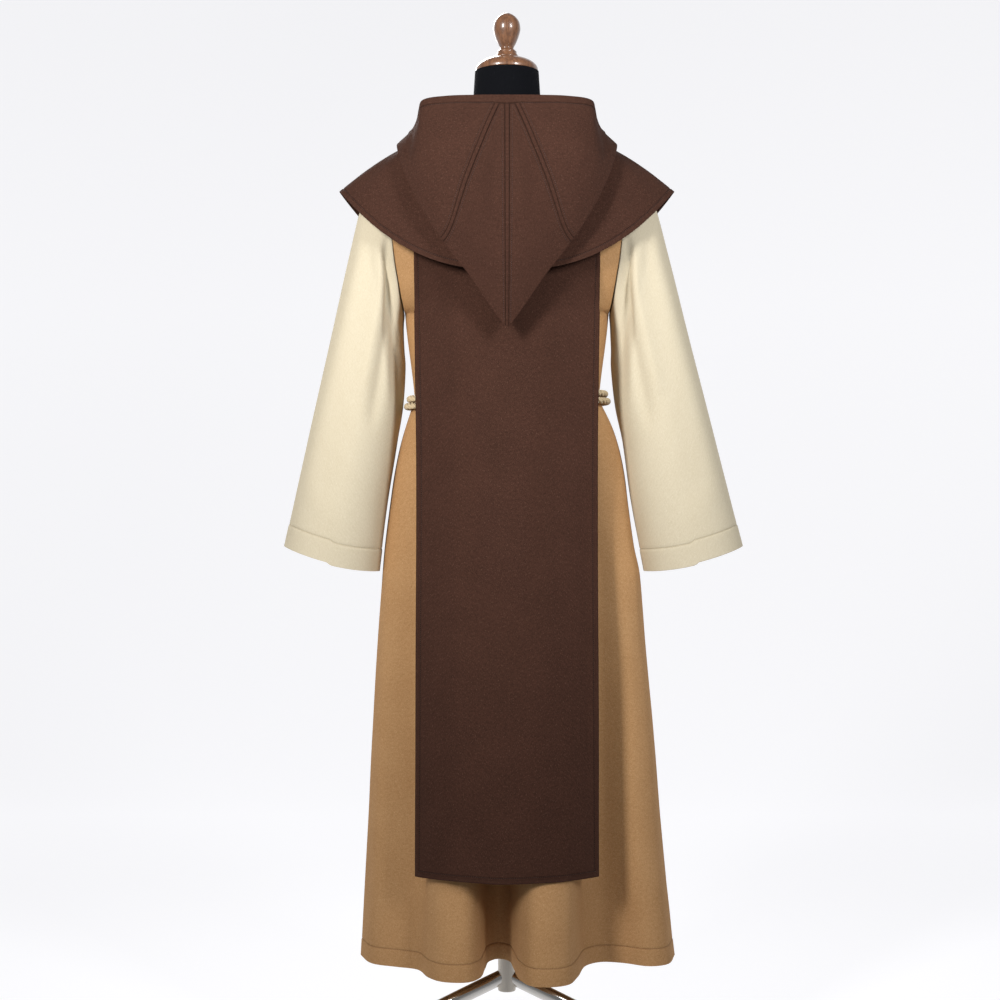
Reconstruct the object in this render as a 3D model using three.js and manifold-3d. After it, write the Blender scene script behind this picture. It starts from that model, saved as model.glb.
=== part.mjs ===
// A monastic habit worn by a limbless dress form on a metal stand.
// Millimetres, +Z up. The garment's front faces -Y and its back +Y; the wearer's left is +X.
// X = Y = 0 is the axis of the stand, and Z = 0 is the floor.

import * as THREE from "three";
import { mergeVertices } from "three/addons/utils/BufferGeometryUtils.js";
import Module from "manifold-3d";

const wasm = await Module();
wasm.setup();

// Driving dimensions: levels
const HEM_Z = 205;
const SCAPULAR_HEM_Z = 370;
const FORM_BOTTOM_Z = 900;
const WAIST_Z = 1175;
const UNDERARM_Z = 1325;
const SHOULDER_TIP_Z = 1590;
const NECK_POINT_Z = 1640;
const NECK_TOP_Z = 1749;

// Driving dimensions: half-widths and depths
const NECK_POINT_X = 75;
const SHOULDER_TIP_X = 195;
const UNDERARM_X = 178;
const WAIST_X = 161;
const WAIST_DEPTH = 100;
const NECK_DEPTH_BACK = 58;
const NECK_DEPTH_FRONT = 62;
const BACK_NECK_RISE = 6;
const FRONT_NECK_DROP = 42;
const ARMHOLE_DEPTH = 70;
const SCAPULAR_HALF_WIDTH = 154.5;

// Driving dimensions: cloth and cord
const TUNIC_WALL = 2;
const CAPE_WALL = 2.2;
const SEAM_GAP = 0.3;
const SIDE_SEAM_GAP = 0.5;
const LAYER_GAP = 0.7;
const ROPE_DIAMETER = 12;
const ROPE_GAP = 0.8;

const group = new THREE.Group();

// Materials by finish
const material = (color, roughness, metalness = 0) =>
  new THREE.MeshStandardMaterial({ color, roughness, metalness });
const TAN_WOOL = material(0xb89265, 0.9);
const CREAM_WOOL = material(0xeee0c6, 0.9);
const BROWN_WOOL = material(0x52362b, 0.92);
const NATURAL_ROPE = material(0xd9c6a0, 0.85);
const BLACK_JERSEY = material(0x17181f, 0.9);
const VARNISHED_WOOD = material(0x8a5238, 0.35);
const POLE_METAL = material(0xb9b6b0, 0.35, 0.8);
const CHROME = material(0xc8c6c2, 0.15, 1);

function addNode(name, geometry, finish) {
  const mesh = new THREE.Mesh(geometry, finish);
  mesh.name = name;
  group.add(mesh);
  return mesh;
}

// Small maths
const mix = (a, b, t) => a + (b - a) * t;
const clamp = (value, low, high) => Math.min(Math.max(value, low), high);
const smooth = (t) => {
  const c = clamp(t, 0, 1);
  return c * c * (3 - 2 * c);
};
const softMax = (a, b, softness) => (a + b + Math.hypot(a - b, softness)) / 2;
const spread = (from, to, steps) => Array.from({ length: steps + 1 }, (_, i) => mix(from, to, i / steps));
const vector = (row) => new THREE.Vector3(row.x, row.y ?? 0, row.z);

// A value of each column of a table, on a smooth curve through its rows
function readTable(rows, key, value) {
  const last = rows.length - 1;
  const inside = clamp(value, rows[0][key], rows[last][key]);
  let i = rows.findIndex((row, k) => k < last && inside <= rows[k + 1][key]);
  i = Math.max(i, 0);
  const [from, to] = [rows[i], rows[i + 1]];
  const before = rows[Math.max(i - 1, 0)];
  const after = rows[Math.min(i + 2, last)];
  const step = to[key] - from[key];
  const t = (inside - from[key]) / step;
  const out = {};
  for (const column of Object.keys(from)) {
    const slopeIn = ((to[column] - before[column]) / (to[key] - before[key])) * step;
    const slopeOut = ((after[column] - from[column]) / (after[key] - from[key])) * step;
    const cubic = 2 * from[column] - 2 * to[column] + slopeIn + slopeOut;
    const square = 3 * (to[column] - from[column]) - 2 * slopeIn - slopeOut;
    out[column] = ((cubic * t + square) * t + slopeIn) * t + from[column];
  }
  return out;
}

// The outward normal of a surface point(u, v), where u x v points outward times side
function surfaceNormal(point, u, v, range, side) {
  const stepU = (range.u[1] - range.u[0]) * 1e-4;
  const stepV = (range.v[1] - range.v[0]) * 1e-4;
  const u0 = Math.max(u - stepU, range.u[0]);
  const u1 = Math.min(u + stepU, range.u[1]);
  const v0 = Math.max(v - stepV, range.v[0]);
  const v1 = Math.min(v + stepV, range.v[1]);
  const alongU = point(u1, v).sub(point(u0, v));
  const alongV = point(u, v1).sub(point(u, v0));
  return alongU.cross(alongV).normalize().multiplyScalar(side);
}

// A cloth wall: a grid of points on its outer face, the same points one thickness further in,
// and the rims that close the edges. Trims part the edges from their neighbours at a seam. The
// panel covers all of point(u, v), or the places that it takes up on a wider surface.
function clothWall(panel) {
  const { across, down, side, thickness, closed = false, trim = {}, mirror = false } = panel;
  const base = panel.surface ?? panel.point;
  const where = panel.place ?? ((u, v) => [u, v]);
  const range = base.range ?? { u: [across[0], across.at(-1)], v: [down[0], down.at(-1)] };
  const columns = closed ? across.length - 1 : across.length;
  const outer = [];
  const normals = [];
  for (let i = 0; i < columns; i += 1) {
    outer.push(down.map((v) => base(...where(across[i], v))));
    normals.push(down.map((v) => surfaceNormal(base, ...where(across[i], v), range, side)));
  }
  if (mirror) {
    for (const edge of [0, columns - 1]) {
      outer[edge].forEach((p, j) => {
        if (Math.abs(p.x) < 1e-6) normals[edge][j].setX(0).normalize();
      });
    }
  }
  const rows = down.length;
  const shorten = (edge, next, gap) => edge.add(next.clone().sub(edge).setLength(gap));
  for (let i = 0; i < columns; i += 1) {
    if (trim.first) shorten(outer[i][0], outer[i][1], trim.first);
    if (trim.last) shorten(outer[i][rows - 1], outer[i][rows - 2], trim.last);
  }
  for (let j = 0; j < rows && !closed; j += 1) {
    if (trim.left) shorten(outer[0][j], outer[1][j], trim.left);
    if (trim.right) shorten(outer[columns - 1][j], outer[columns - 2][j], trim.right);
  }
  const positions = [];
  for (const offset of [0, thickness]) {
    for (let i = 0; i < columns; i += 1) {
      for (let j = 0; j < rows; j += 1) {
        const p = outer[i][j].clone().addScaledVector(normals[i][j], -offset);
        positions.push(p.x, p.y, p.z);
      }
    }
  }
  const index = [];
  const layer = columns * rows;
  const at = (i, j, inner) => (inner ? layer : 0) + (i % columns) * rows + j;
  const quad = (a, b, c, d) => index.push(a, b, c, a, c, d);
  const spans = closed ? columns : columns - 1;
  for (let i = 0; i < spans; i += 1) {
    for (let j = 0; j < rows - 1; j += 1) {
      quad(at(i, j), at(i + 1, j), at(i + 1, j + 1), at(i, j + 1));
      quad(at(i, j, true), at(i, j + 1, true), at(i + 1, j + 1, true), at(i + 1, j, true));
    }
    quad(at(i, 0, true), at(i + 1, 0, true), at(i + 1, 0), at(i, 0));
    quad(at(i, rows - 1), at(i + 1, rows - 1), at(i + 1, rows - 1, true), at(i, rows - 1, true));
  }
  for (let j = 0; j < rows - 1 && !closed; j += 1) {
    quad(at(0, j), at(0, j + 1), at(0, j + 1, true), at(0, j, true));
    quad(at(spans, j, true), at(spans, j + 1, true), at(spans, j + 1), at(spans, j));
  }
  return closedGeometry(positions, index);
}

// A geometry from points and triangles, turned so that its faces point out
function closedGeometry(positions, index) {
  let volume = 0;
  const corner = (k) => new THREE.Vector3().fromArray(positions, 3 * index[k]);
  for (let k = 0; k < index.length; k += 3) {
    volume += corner(k).dot(corner(k + 1).cross(corner(k + 2)));
  }
  if (volume < 0) index.reverse();
  const geometry = new THREE.BufferGeometry();
  geometry.setAttribute("position", new THREE.Float32BufferAttribute(positions, 3));
  geometry.setIndex(index);
  geometry.computeVertexNormals();
  return geometry;
}

// A solid through closed rings of equal length, with a fan over each end
function loft(rings) {
  const count = rings[0].length;
  const positions = rings.flat().flatMap((p) => [p.x, p.y, p.z]);
  const index = [];
  for (let k = 0; k < rings.length - 1; k += 1) {
    for (let i = 0; i < count; i += 1) {
      const a = k * count + i;
      const b = k * count + ((i + 1) % count);
      index.push(a, b, b + count, a, b + count, a + count);
    }
  }
  for (const end of [0, rings.length - 1]) {
    const middle = rings[end].reduce((sum, p) => sum.add(p), new THREE.Vector3()).divideScalar(count);
    const hub = positions.length / 3;
    positions.push(middle.x, middle.y, middle.z);
    for (let i = 0; i < count; i += 1) {
      const a = end * count + i;
      const b = end * count + ((i + 1) % count);
      index.push(...(end === 0 ? [b, a, hub] : [a, b, hub]));
    }
  }
  return closedGeometry(positions, index);
}

// Tunic: how deep and how wide the body is below the underarm
const BODY_DEPTH = [
  { z: WAIST_Z, back: WAIST_DEPTH, front: WAIST_DEPTH },
  { z: 1250, back: 110, front: 108 },
  { z: UNDERARM_Z, back: 116, front: 116 },
  { z: 1400, back: 118, front: 120 },
  { z: 1500, back: 116, front: 116 },
  { z: 1600, back: 112, front: 112 },
  { z: 1660, back: 112, front: 112 },
];

// Tunic: how far the skirt's side seams have swung out from the waist (0) to the hem (1)
const SKIRT_SWING = [
  { z: HEM_Z, left: 1, right: 1 },
  { z: 256, left: 0.97, right: 0.95 },
  { z: 440, left: 0.87, right: 0.82 },
  { z: 562, left: 0.81, right: 0.75 },
  { z: 737, left: 0.71, right: 0.63 },
  { z: 870, left: 0.615, right: 0.55 },
  { z: 918, left: 0.57, right: 0.47 },
  { z: 990, left: 0.47, right: 0.39 },
  { z: 1045, left: 0.385, right: 0.34 },
  { z: 1090, left: 0.286, right: 0.27 },
  { z: 1130, left: 0.165, right: 0.17 },
  { z: WAIST_Z, left: 0, right: 0 },
];
const FOLD_FADE = 1.6;

// Tunic: the hem in plan, from the left side seam round the back to the right one
const HEM_BACK = [
  { x: 249, y: 0 },
  { x: 224, y: 66 },
  { x: 187, y: 87 },
  { x: 152, y: 104 },
  { x: 130, y: 156 },
  { x: 106, y: 184 },
  { x: 64, y: 184 },
  { x: 47, y: 140 },
  { x: 33, y: 60 },
  { x: 14, y: 33 },
  { x: -2, y: 50 },
  { x: -10, y: 100 },
  { x: -24, y: 170 },
  { x: -45, y: 213 },
  { x: -73, y: 217 },
  { x: -101, y: 202 },
  { x: -118, y: 152 },
  { x: -136, y: 76 },
  { x: -163, y: 53 },
  { x: -200, y: 60 },
  { x: -236, y: 82 },
  { x: -266, y: 72 },
  { x: -288, y: 0 },
];

// Tunic: the hem in plan, from the right side seam round the front to the left one
const HEM_FRONT = [
  { x: -288, y: 0 },
  { x: -268, y: -66 },
  { x: -228, y: -98 },
  { x: -186, y: -104 },
  { x: -150, y: -150 },
  { x: -112, y: -208 },
  { x: -66, y: -216 },
  { x: -34, y: -170 },
  { x: -6, y: -122 },
  { x: 28, y: -150 },
  { x: 62, y: -202 },
  { x: 108, y: -206 },
  { x: 146, y: -150 },
  { x: 184, y: -104 },
  { x: 224, y: -80 },
  { x: 249, y: 0 },
];

// A point of a hem, by the share of its length
const hemCurve = (rows) => {
  const points = rows.map((row) => new THREE.Vector3(row.x, row.y, 0));
  const curve = new THREE.CatmullRomCurve3(points, false, "centripetal");
  curve.arcLengthDivisions = 1200;
  return (share) => curve.getPointAt(clamp(share, 0, 1));
};
const hemBack = hemCurve(HEM_BACK);
const hemFront = hemCurve(HEM_FRONT);

const ridgeZ = (x) => {
  const share = (Math.abs(x) - NECK_POINT_X) / (SHOULDER_TIP_X - NECK_POINT_X);
  return mix(NECK_POINT_Z, SHOULDER_TIP_Z, share);
};

// How deep a level section of the body is at theta, as a share of its middle: flat across the
// shoulder blades, and rounder below. Drop is measured from the underarm, in yoke heights.
const FLAT_POWER = 2.2;
const ROUND_POWER = 0.9;
const ROUNDING_ABOVE = 0.4;
const ROUNDING_SPAN = 0.8;
function sectionDepth(theta, drop) {
  const flat = 1 - Math.abs(Math.cos(theta)) ** FLAT_POWER;
  const round = Math.abs(Math.sin(theta)) ** ROUND_POWER;
  return mix(flat, round, smooth((drop + ROUNDING_ABOVE) / ROUNDING_SPAN));
}

// Tunic yoke: theta runs round the body from the left side (0) over the back (half a turn) to the
// right side and the front; drop runs from the shoulder line (0) to the underarm (1)
const YOKE_ROUNDING = 0.3;
function yokePoint(theta, drop) {
  const back = theta <= Math.PI;
  const x0 = SHOULDER_TIP_X * Math.cos(theta);
  const neck = Math.sqrt(Math.max(0, 1 - (x0 / NECK_POINT_X) ** 2));
  const overNeck = Math.abs(x0) < NECK_POINT_X;
  const rise = back ? BACK_NECK_RISE * neck : -FRONT_NECK_DROP * neck * neck;
  const top = overNeck ? NECK_POINT_Z + rise : ridgeZ(x0);
  const z = mix(top, UNDERARM_Z, drop);
  const sideWidth = mix(SHOULDER_TIP_X, UNDERARM_X, drop);
  const topDepth = overNeck ? neck * (back ? NECK_DEPTH_BACK : NECK_DEPTH_FRONT) : 0;
  const depths = readTable(BODY_DEPTH, "z", z);
  const rounding = Math.sqrt(1 - (1 - Math.min(drop / YOKE_ROUNDING, 1)) ** 2);
  const middle = mix(topDepth, back ? depths.back : depths.front, rounding);
  const armhole = ARMHOLE_DEPTH * Math.sqrt(Math.max(0, 1 - (1 - 2 * drop) ** 2));
  const depth = mix(armhole, middle, sectionDepth(theta, drop - 1));
  return new THREE.Vector3(sideWidth * Math.cos(theta), back ? depth : -depth, z);
}

// Tunic body from the underarm (0) to the waist (1)
const BODY_SHARE = (UNDERARM_Z - WAIST_Z) / (SHOULDER_TIP_Z - UNDERARM_Z);
const WAIST_EASE = 0.4;
function bodyPoint(theta, drop) {
  const back = theta <= Math.PI;
  const z = mix(UNDERARM_Z, WAIST_Z, drop);
  const depths = readTable(BODY_DEPTH, "z", z);
  const width = mix(UNDERARM_X, WAIST_X, mix(drop, smooth(drop), WAIST_EASE));
  const depth = (back ? depths.back : -depths.front) * sectionDepth(theta, drop * BODY_SHARE);
  return new THREE.Vector3(width * Math.cos(theta), depth, z);
}

// Tunic skirt from the waist (0) to the hem (1). Its folds deepen towards the hem, and between
// them and the waist the section swells evenly with the flare.
const EVEN_SWELL = 0.55;
const SWELL_BY_SWING = 0.4;
function skirtPoint(theta, drop) {
  const back = theta <= Math.PI;
  const z = mix(WAIST_Z, HEM_Z, drop);
  const waist = bodyPoint(theta, 1);
  const hem = back ? hemBack(theta / Math.PI) : hemFront(theta / Math.PI - 1);
  const swing = readTable(SKIRT_SWING, "z", z);
  const leftness = (Math.cos(theta) + 1) / 2;
  const across = mix(swing.right, swing.left, leftness);
  const folds = drop ** FOLD_FADE;
  const flare = mix(drop, across, SWELL_BY_SWING) * (1 - folds);
  const evenDepth = waist.y * (1 + EVEN_SWELL * flare);
  return new THREE.Vector3(mix(waist.x, hem.x, across), mix(evenDepth, hem.y, folds), z);
}

// Tunic: level runs from the shoulder line (0) by the underarm (1) and the waist (2) to the hem (3)
function tunicPoint(theta, level) {
  if (level <= 1) return yokePoint(theta, level);
  if (level <= 2) return bodyPoint(theta, level - 1);
  return skirtPoint(theta, level - 2);
}
tunicPoint.range = { u: [0, 2 * Math.PI], v: [0, 3] };

const YOKE_LEVELS = [1, 2, 3, 4, 5].map((k) => YOKE_ROUNDING * (1 - Math.cos((k * Math.PI) / 10)));
const TUNIC_LEVELS = [0, ...YOKE_LEVELS, 0.55, 0.8, 1, 1.5, 2, 2.06, 2.16, 2.3, 2.46, 2.64, 2.82, 3];

// Columns of the tunic: even round the sides, and finer round the neck curve
const NECK_STEPS = spread(-5, 5, 10).map((k) => NECK_POINT_X * Math.sin((k * Math.PI) / 10));
const NECK_POINT_TURN = Math.acos(NECK_POINT_X / SHOULDER_TIP_X);
const SIDE_TURNS = spread(0, NECK_POINT_TURN, 12);
const COLUMN_TURNS = [
  ...SIDE_TURNS.slice(0, -1),
  ...NECK_STEPS.toReversed().map((x) => Math.acos(x / SHOULDER_TIP_X)),
  ...SIDE_TURNS.slice(0, -1).toReversed().map((turn) => Math.PI - turn),
];

function tunicPanel(name, from, to) {
  const wrap = (theta) => (theta + 2 * Math.PI) % (2 * Math.PI);
  const panel = (theta, level) => tunicPoint(level > 1 ? wrap(theta) : clamp(theta, from, to), level);
  panel.range = { u: [from - 0.1, to + 0.1], v: [0, 3] };
  addNode(name, clothWall({
    across: COLUMN_TURNS.map((turn) => clamp(turn + (from > 1 ? Math.PI : 0), from, to)),
    down: TUNIC_LEVELS,
    surface: panel,
    side: -1,
    thickness: TUNIC_WALL,
    trim: { first: SEAM_GAP / 2, left: SIDE_SEAM_GAP / 2, right: SIDE_SEAM_GAP / 2 },
  }), TAN_WOOL);
}
const BACK_RANGE = [0.0001, Math.PI - 0.0001];
const FRONT_RANGE = [Math.PI + 0.0001, 2 * Math.PI - 0.0001];
tunicPanel("tunic_back", ...BACK_RANGE);
tunicPanel("tunic_front", ...FRONT_RANGE);

// Where round the tunic a given x lies at a level
function thetaAt(x, level, back) {
  let [low, high] = back ? [0, Math.PI] : [Math.PI, 2 * Math.PI];
  for (let k = 0; k < 40; k += 1) {
    const middle = (low + high) / 2;
    const beyond = tunicPoint(middle, level).x > x;
    if (beyond === back) low = middle;
    else high = middle;
  }
  return (low + high) / 2;
}

// Sleeves: the upper and lower edge of each, from the armhole (0) to the cuff (1)
const SLEEVE_TOP = [
  { along: 0, x: SHOULDER_TIP_X, z: SHOULDER_TIP_Z },
  { along: 0.06, x: 213, z: 1580 },
  { along: 0.13, x: 237, z: 1556 },
  { along: 0.2, x: 256, z: 1518 },
  { along: 0.3, x: 279, z: 1430 },
  { along: 0.45, x: 310, z: 1302 },
  { along: 0.6, x: 337.5, z: 1188 },
  { along: 0.8, x: 371, z: 1048 },
  { along: 1, x: 402, z: 920 },
];
const SLEEVE_UNDER = {
  left: [
    { along: 0, x: UNDERARM_X, z: UNDERARM_Z },
    { along: 0.06, x: 180, z: 1307 },
    { along: 0.13, x: 180, z: 1286 },
    { along: 0.2, x: 179, z: 1262 },
    { along: 0.3, x: 177, z: 1230 },
    { along: 0.45, x: 181, z: 1163 },
    { along: 0.6, x: 191, z: 1100 },
    { along: 0.8, x: 208, z: 995 },
    { along: 1, x: 222, z: 876 },
  ],
  right: [
    { along: 0, x: UNDERARM_X, z: UNDERARM_Z },
    { along: 0.06, x: 180, z: 1307 },
    { along: 0.13, x: 181, z: 1286 },
    { along: 0.2, x: 182, z: 1262 },
    { along: 0.3, x: 182, z: 1230 },
    { along: 0.45, x: 189, z: 1163 },
    { along: 0.6, x: 202, z: 1100 },
    { along: 0.8, x: 217, z: 995 },
    { along: 1, x: 239, z: 876 },
  ],
};

// Sleeves: half their depth, how far the underarm is drawn in, and where that drag fold runs
const SLEEVE_DEPTH = [
  { along: 0, depth: ARMHOLE_DEPTH, drag: 0, fold: 0.1 },
  { along: 0.12, depth: 67, drag: 0.2, fold: 0 },
  { along: 0.25, depth: 64, drag: 0.34, fold: -0.25 },
  { along: 0.4, depth: 68, drag: 0.3, fold: -0.6 },
  { along: 0.6, depth: 73, drag: 0, fold: -0.9 },
  { along: 1, depth: 72, drag: 0, fold: -1 },
];
const CUFF_CURL = 9;
const OUTER_CURL_SHARE = 0.6;
const DRAG_WIDTH = 0.35;

function sleevePoint(side, angle, along) {
  const top = readTable(SLEEVE_TOP, "along", along);
  const under = readTable(side > 0 ? SLEEVE_UNDER.left : SLEEVE_UNDER.right, "along", along);
  const form = readTable(SLEEVE_DEPTH, "along", along);
  const outward = Math.cos(angle);
  const drawn = 1 - form.drag * smooth((form.fold - outward) / DRAG_WIDTH + 0.3);
  const curl = CUFF_CURL * along ** 8 * Math.sin(angle) ** 2 * (outward < 0 ? 1 : OUTER_CURL_SHARE);
  const x = mix(under.x, top.x, (1 + outward) / 2) + LAYER_GAP;
  const z = mix(under.z, top.z, (1 + outward) / 2) - curl;
  return new THREE.Vector3(side * x, form.depth * Math.sin(angle) * drawn, z);
}

for (const [name, side] of [["sleeve_left", 1], ["sleeve_right", -1]]) {
  addNode(name, clothWall({
    across: spread(0, 2 * Math.PI, 20),
    down: [0, 0.05, 0.11, 0.17, 0.24, 0.32, 0.42, 0.54, 0.68, 0.84, 1],
    point: (angle, along) => sleevePoint(side, angle, along),
    side: -side,
    thickness: TUNIC_WALL,
    closed: true,
    trim: { first: SEAM_GAP },
  }), CREAM_WOOL);
}

// Scapular: it lies on the tunic over the shoulders and hangs free below
const SCAPULAR_HANG = [
  { z: SCAPULAR_HEM_Z, middle: 205, bow: 65 },
  { z: 700, middle: 172, bow: 48 },
  { z: 1000, middle: 134, bow: 39 },
  { z: WAIST_Z, middle: 117, bow: 31 },
  { z: 1320, middle: 116, bow: 41 },
  { z: 1420, middle: 100, bow: 56 },
  { z: 1660, middle: 30, bow: 56 },
];
const NECK_EASE = 1.5;
const NECK_EASE_X = { none: 120, full: 90 };
const LOOSE_BACK = 0.9;
const SCAPULAR_TOP_LEVELS = TUNIC_LEVELS.filter((level) => level < 1);

function scapularPoint(back, share, level) {
  const x = share * SCAPULAR_HALF_WIDTH;
  const drop = Math.min(level, tunicLevelAt(SCAPULAR_HEM_Z));
  const theta = thetaAt(x, drop, back);
  const bed = tunicPoint(theta, drop);
  const range = { u: back ? BACK_RANGE : FRONT_RANGE, v: tunicPoint.range.v };
  const out = surfaceNormal(tunicPoint, theta, drop, range, -1);
  const nearNeck = (NECK_EASE_X.none - Math.abs(x)) / (NECK_EASE_X.none - NECK_EASE_X.full);
  const ease = NECK_EASE * smooth(nearNeck) * smooth((0.5 - level) / 0.3);
  const loose = LOOSE_BACK * smooth(level / 0.3);
  const laid = bed.addScaledVector(out, LAYER_GAP + ease + loose + TUNIC_WALL);
  const hang = readTable(SCAPULAR_HANG, "z", laid.z);
  const free = hang.middle - hang.bow * share * share;
  const onBody = back ? laid.y : -laid.y;
  const yoke = smooth((level - 0.3) / 0.4);
  const depth = mix(onBody, softMax(onBody, free, 6), yoke);
  return new THREE.Vector3(laid.x, back ? depth : -depth, laid.z);
}
const tunicLevelAt = (z) => (z > WAIST_Z ? 1 + (UNDERARM_Z - z) / (UNDERARM_Z - WAIST_Z)
  : 2 + (WAIST_Z - z) / (WAIST_Z - HEM_Z));

// The tunic's slope breaks at the underarm and the waist, where it has no one outward direction, so
// the scapular's rows lie a little below both
const BREAK_CLEARANCE = 4;
const BODY_ROWS = [UNDERARM_Z - BREAK_CLEARANCE, 1250, WAIST_Z - BREAK_CLEARANCE];
const SKIRT_ROWS = [1100, 1000, 880, 750, 620, 490, SCAPULAR_HEM_Z];
const SCAPULAR_LEVELS = [...SCAPULAR_TOP_LEVELS, ...[...BODY_ROWS, ...SKIRT_ROWS].map(tunicLevelAt)];
const SCAPULAR_SHARES = [
  1,
  ...[10, 8].map((k) => (SHOULDER_TIP_X * Math.cos(SIDE_TURNS[k])) / SCAPULAR_HALF_WIDTH),
  ...NECK_STEPS.toReversed().map((x) => x / SCAPULAR_HALF_WIDTH),
  ...[8, 10].map((k) => (-SHOULDER_TIP_X * Math.cos(SIDE_TURNS[k])) / SCAPULAR_HALF_WIDTH),
  -1,
].sort((a, b) => b - a);
for (const [name, back] of [["scapular_back", true], ["scapular_front", false]]) {
  addNode(name, clothWall({
    across: back ? SCAPULAR_SHARES : SCAPULAR_SHARES.toReversed(),
    down: SCAPULAR_LEVELS,
    point: (share, level) => scapularPoint(back, share, level),
    side: -1,
    thickness: TUNIC_WALL,
    trim: { first: SEAM_GAP / 2 },
  }), BROWN_WOOL);
}

// Shoulder cape: turn runs from the centre back (0) to the centre front (1) on each side
const CAPE_HEM = { halfWidth: 293, depth: 150, power: 1.7, sideZ: 1539, middleZ: 1384 };
const CAPE_LIFT = 1.9;
const CAPE_FRONT_LIFT = 1.6;
const CAPE_NECK = { halfWidth: 88, back: 76, front: 80 };
const CAPE_SHOULDER = {
  halfWidth: 190,
  depth: 133,
  frontDepth: 141,
  power: 2.3,
  sideZ: 1627,
  middleZ: 1622,
  cornerRise: 26,
  frontDrop: 20,
};
const CAPE_HEM_POWER = 2.4;

const ovalPoint = (halfWidth, depth, power, turn) => {
  const angle = turn * Math.PI;
  const sine = Math.abs(Math.sin(angle)) ** (2 / power);
  const cosine = Math.abs(Math.cos(angle)) ** (2 / power) * Math.sign(Math.cos(angle));
  return { x: halfWidth * sine, y: depth * cosine };
};

// The height of the tunic's yoke above a point in plan
function yokeHeight(x, y) {
  const share = clamp(x / SHOULDER_TIP_X, -1, 1);
  const theta = y >= 0 ? Math.acos(share) : 2 * Math.PI - Math.acos(share);
  let [low, high] = [0, 1];
  for (let k = 0; k < 30; k += 1) {
    const middle = (low + high) / 2;
    if (Math.abs(yokePoint(theta, middle).y) < Math.abs(y)) low = middle;
    else high = middle;
  }
  return yokePoint(theta, low).z;
}

function capeLoops(turn) {
  const neck = ovalPoint(CAPE_NECK.halfWidth, turn < 0.5 ? CAPE_NECK.back : CAPE_NECK.front, 2, turn);
  const chest = turn > 0.5 ? CAPE_SHOULDER.frontDepth : CAPE_SHOULDER.depth;
  const shoulder = ovalPoint(CAPE_SHOULDER.halfWidth, chest, CAPE_SHOULDER.power, turn);
  const hem = ovalPoint(CAPE_HEM.halfWidth, CAPE_HEM.depth, CAPE_HEM.power, turn);
  const lift = TUNIC_WALL + CAPE_WALL + 2 * LAYER_GAP + NECK_EASE + CAPE_LIFT;
  neck.z = yokeHeight(neck.x, neck.y) + lift + CAPE_FRONT_LIFT * smooth((turn - 0.5) / 0.12);
  const sideways = Math.sin(turn * Math.PI) ** 2;
  const corner = Math.sin(turn * 2 * Math.PI) ** 2;
  const frontDrop = turn > 0.5 ? CAPE_SHOULDER.frontDrop * (1 - sideways) : 0;
  shoulder.z = mix(CAPE_SHOULDER.middleZ, CAPE_SHOULDER.sideZ, sideways);
  shoulder.z += CAPE_SHOULDER.cornerRise * corner - frontDrop;
  hem.z = mix(CAPE_HEM.middleZ, CAPE_HEM.sideZ, (hem.x / CAPE_HEM.halfWidth) ** CAPE_HEM_POWER);
  return [vector(neck), vector(shoulder), vector(hem)];
}

const bend = (from, through, to, t) => from.clone().multiplyScalar((1 - t) ** 2)
  .addScaledVector(through, 2 * t * (1 - t))
  .addScaledVector(to, t * t);

const mirrored = (p, side) => new THREE.Vector3(side * p.x, p.y, p.z);
const capePoint = (side, turn, down) => mirrored(bend(...capeLoops(turn), down), side);

for (const [name, side] of [["cape_left", 1], ["cape_right", -1]]) {
  addNode(name, clothWall({
    across: spread(0, 1, 18),
    down: spread(0, 1, 6),
    point: (turn, down) => capePoint(side, turn, down),
    side: side,
    thickness: CAPE_WALL,
    mirror: true,
    trim: { left: SEAM_GAP / 2, right: SEAM_GAP / 2 },
  }), BROWN_WOOL);
}

// Hood: its rim and its fold, from the centre back (0) to the centre front (1) on each side
const HOOD_RIM = [
  { turn: 0, x: 0, y: 118, z: 1683 },
  { turn: 0.12, x: 50, y: 117, z: 1683 },
  { turn: 0.25, x: 104, y: 113, z: 1682 },
  { turn: 0.35, x: 143, y: 96, z: 1679 },
  { turn: 0.42, x: 150, y: 66, z: 1668 },
  { turn: 0.52, x: 146, y: 14, z: 1654 },
  { turn: 0.66, x: 124, y: -57, z: 1652 },
  { turn: 0.75, x: 97, y: -90, z: 1638 },
  { turn: 0.84, x: 64, y: -116, z: 1618 },
  { turn: 1, x: 0, y: -134, z: 1596 },
];
const HOOD_FOLD = [
  { turn: 0, x: 0, y: 160, z: 1287 },
  { turn: 0.05, x: 13, y: 160, z: 1302 },
  { turn: 0.11, x: 35, y: 160, z: 1333 },
  { turn: 0.17, x: 60, y: 160, z: 1370 },
  { turn: 0.23, x: 88, y: 158, z: 1406 },
  { turn: 0.29, x: 118, y: 151, z: 1447 },
  { turn: 0.35, x: 148, y: 136, z: 1496 },
  { turn: 0.41, x: 172, y: 112, z: 1548 },
  { turn: 0.47, x: 186, y: 76, z: 1592 },
  { turn: 0.53, x: 189, y: 36, z: 1617 },
  { turn: 0.64, x: 164, y: -43, z: 1630 },
  { turn: 0.72, x: 139, y: -88, z: 1611 },
  { turn: 0.8, x: 104, y: -120, z: 1577 },
  { turn: 1, x: 0, y: -148, z: 1528 },
];
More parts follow.
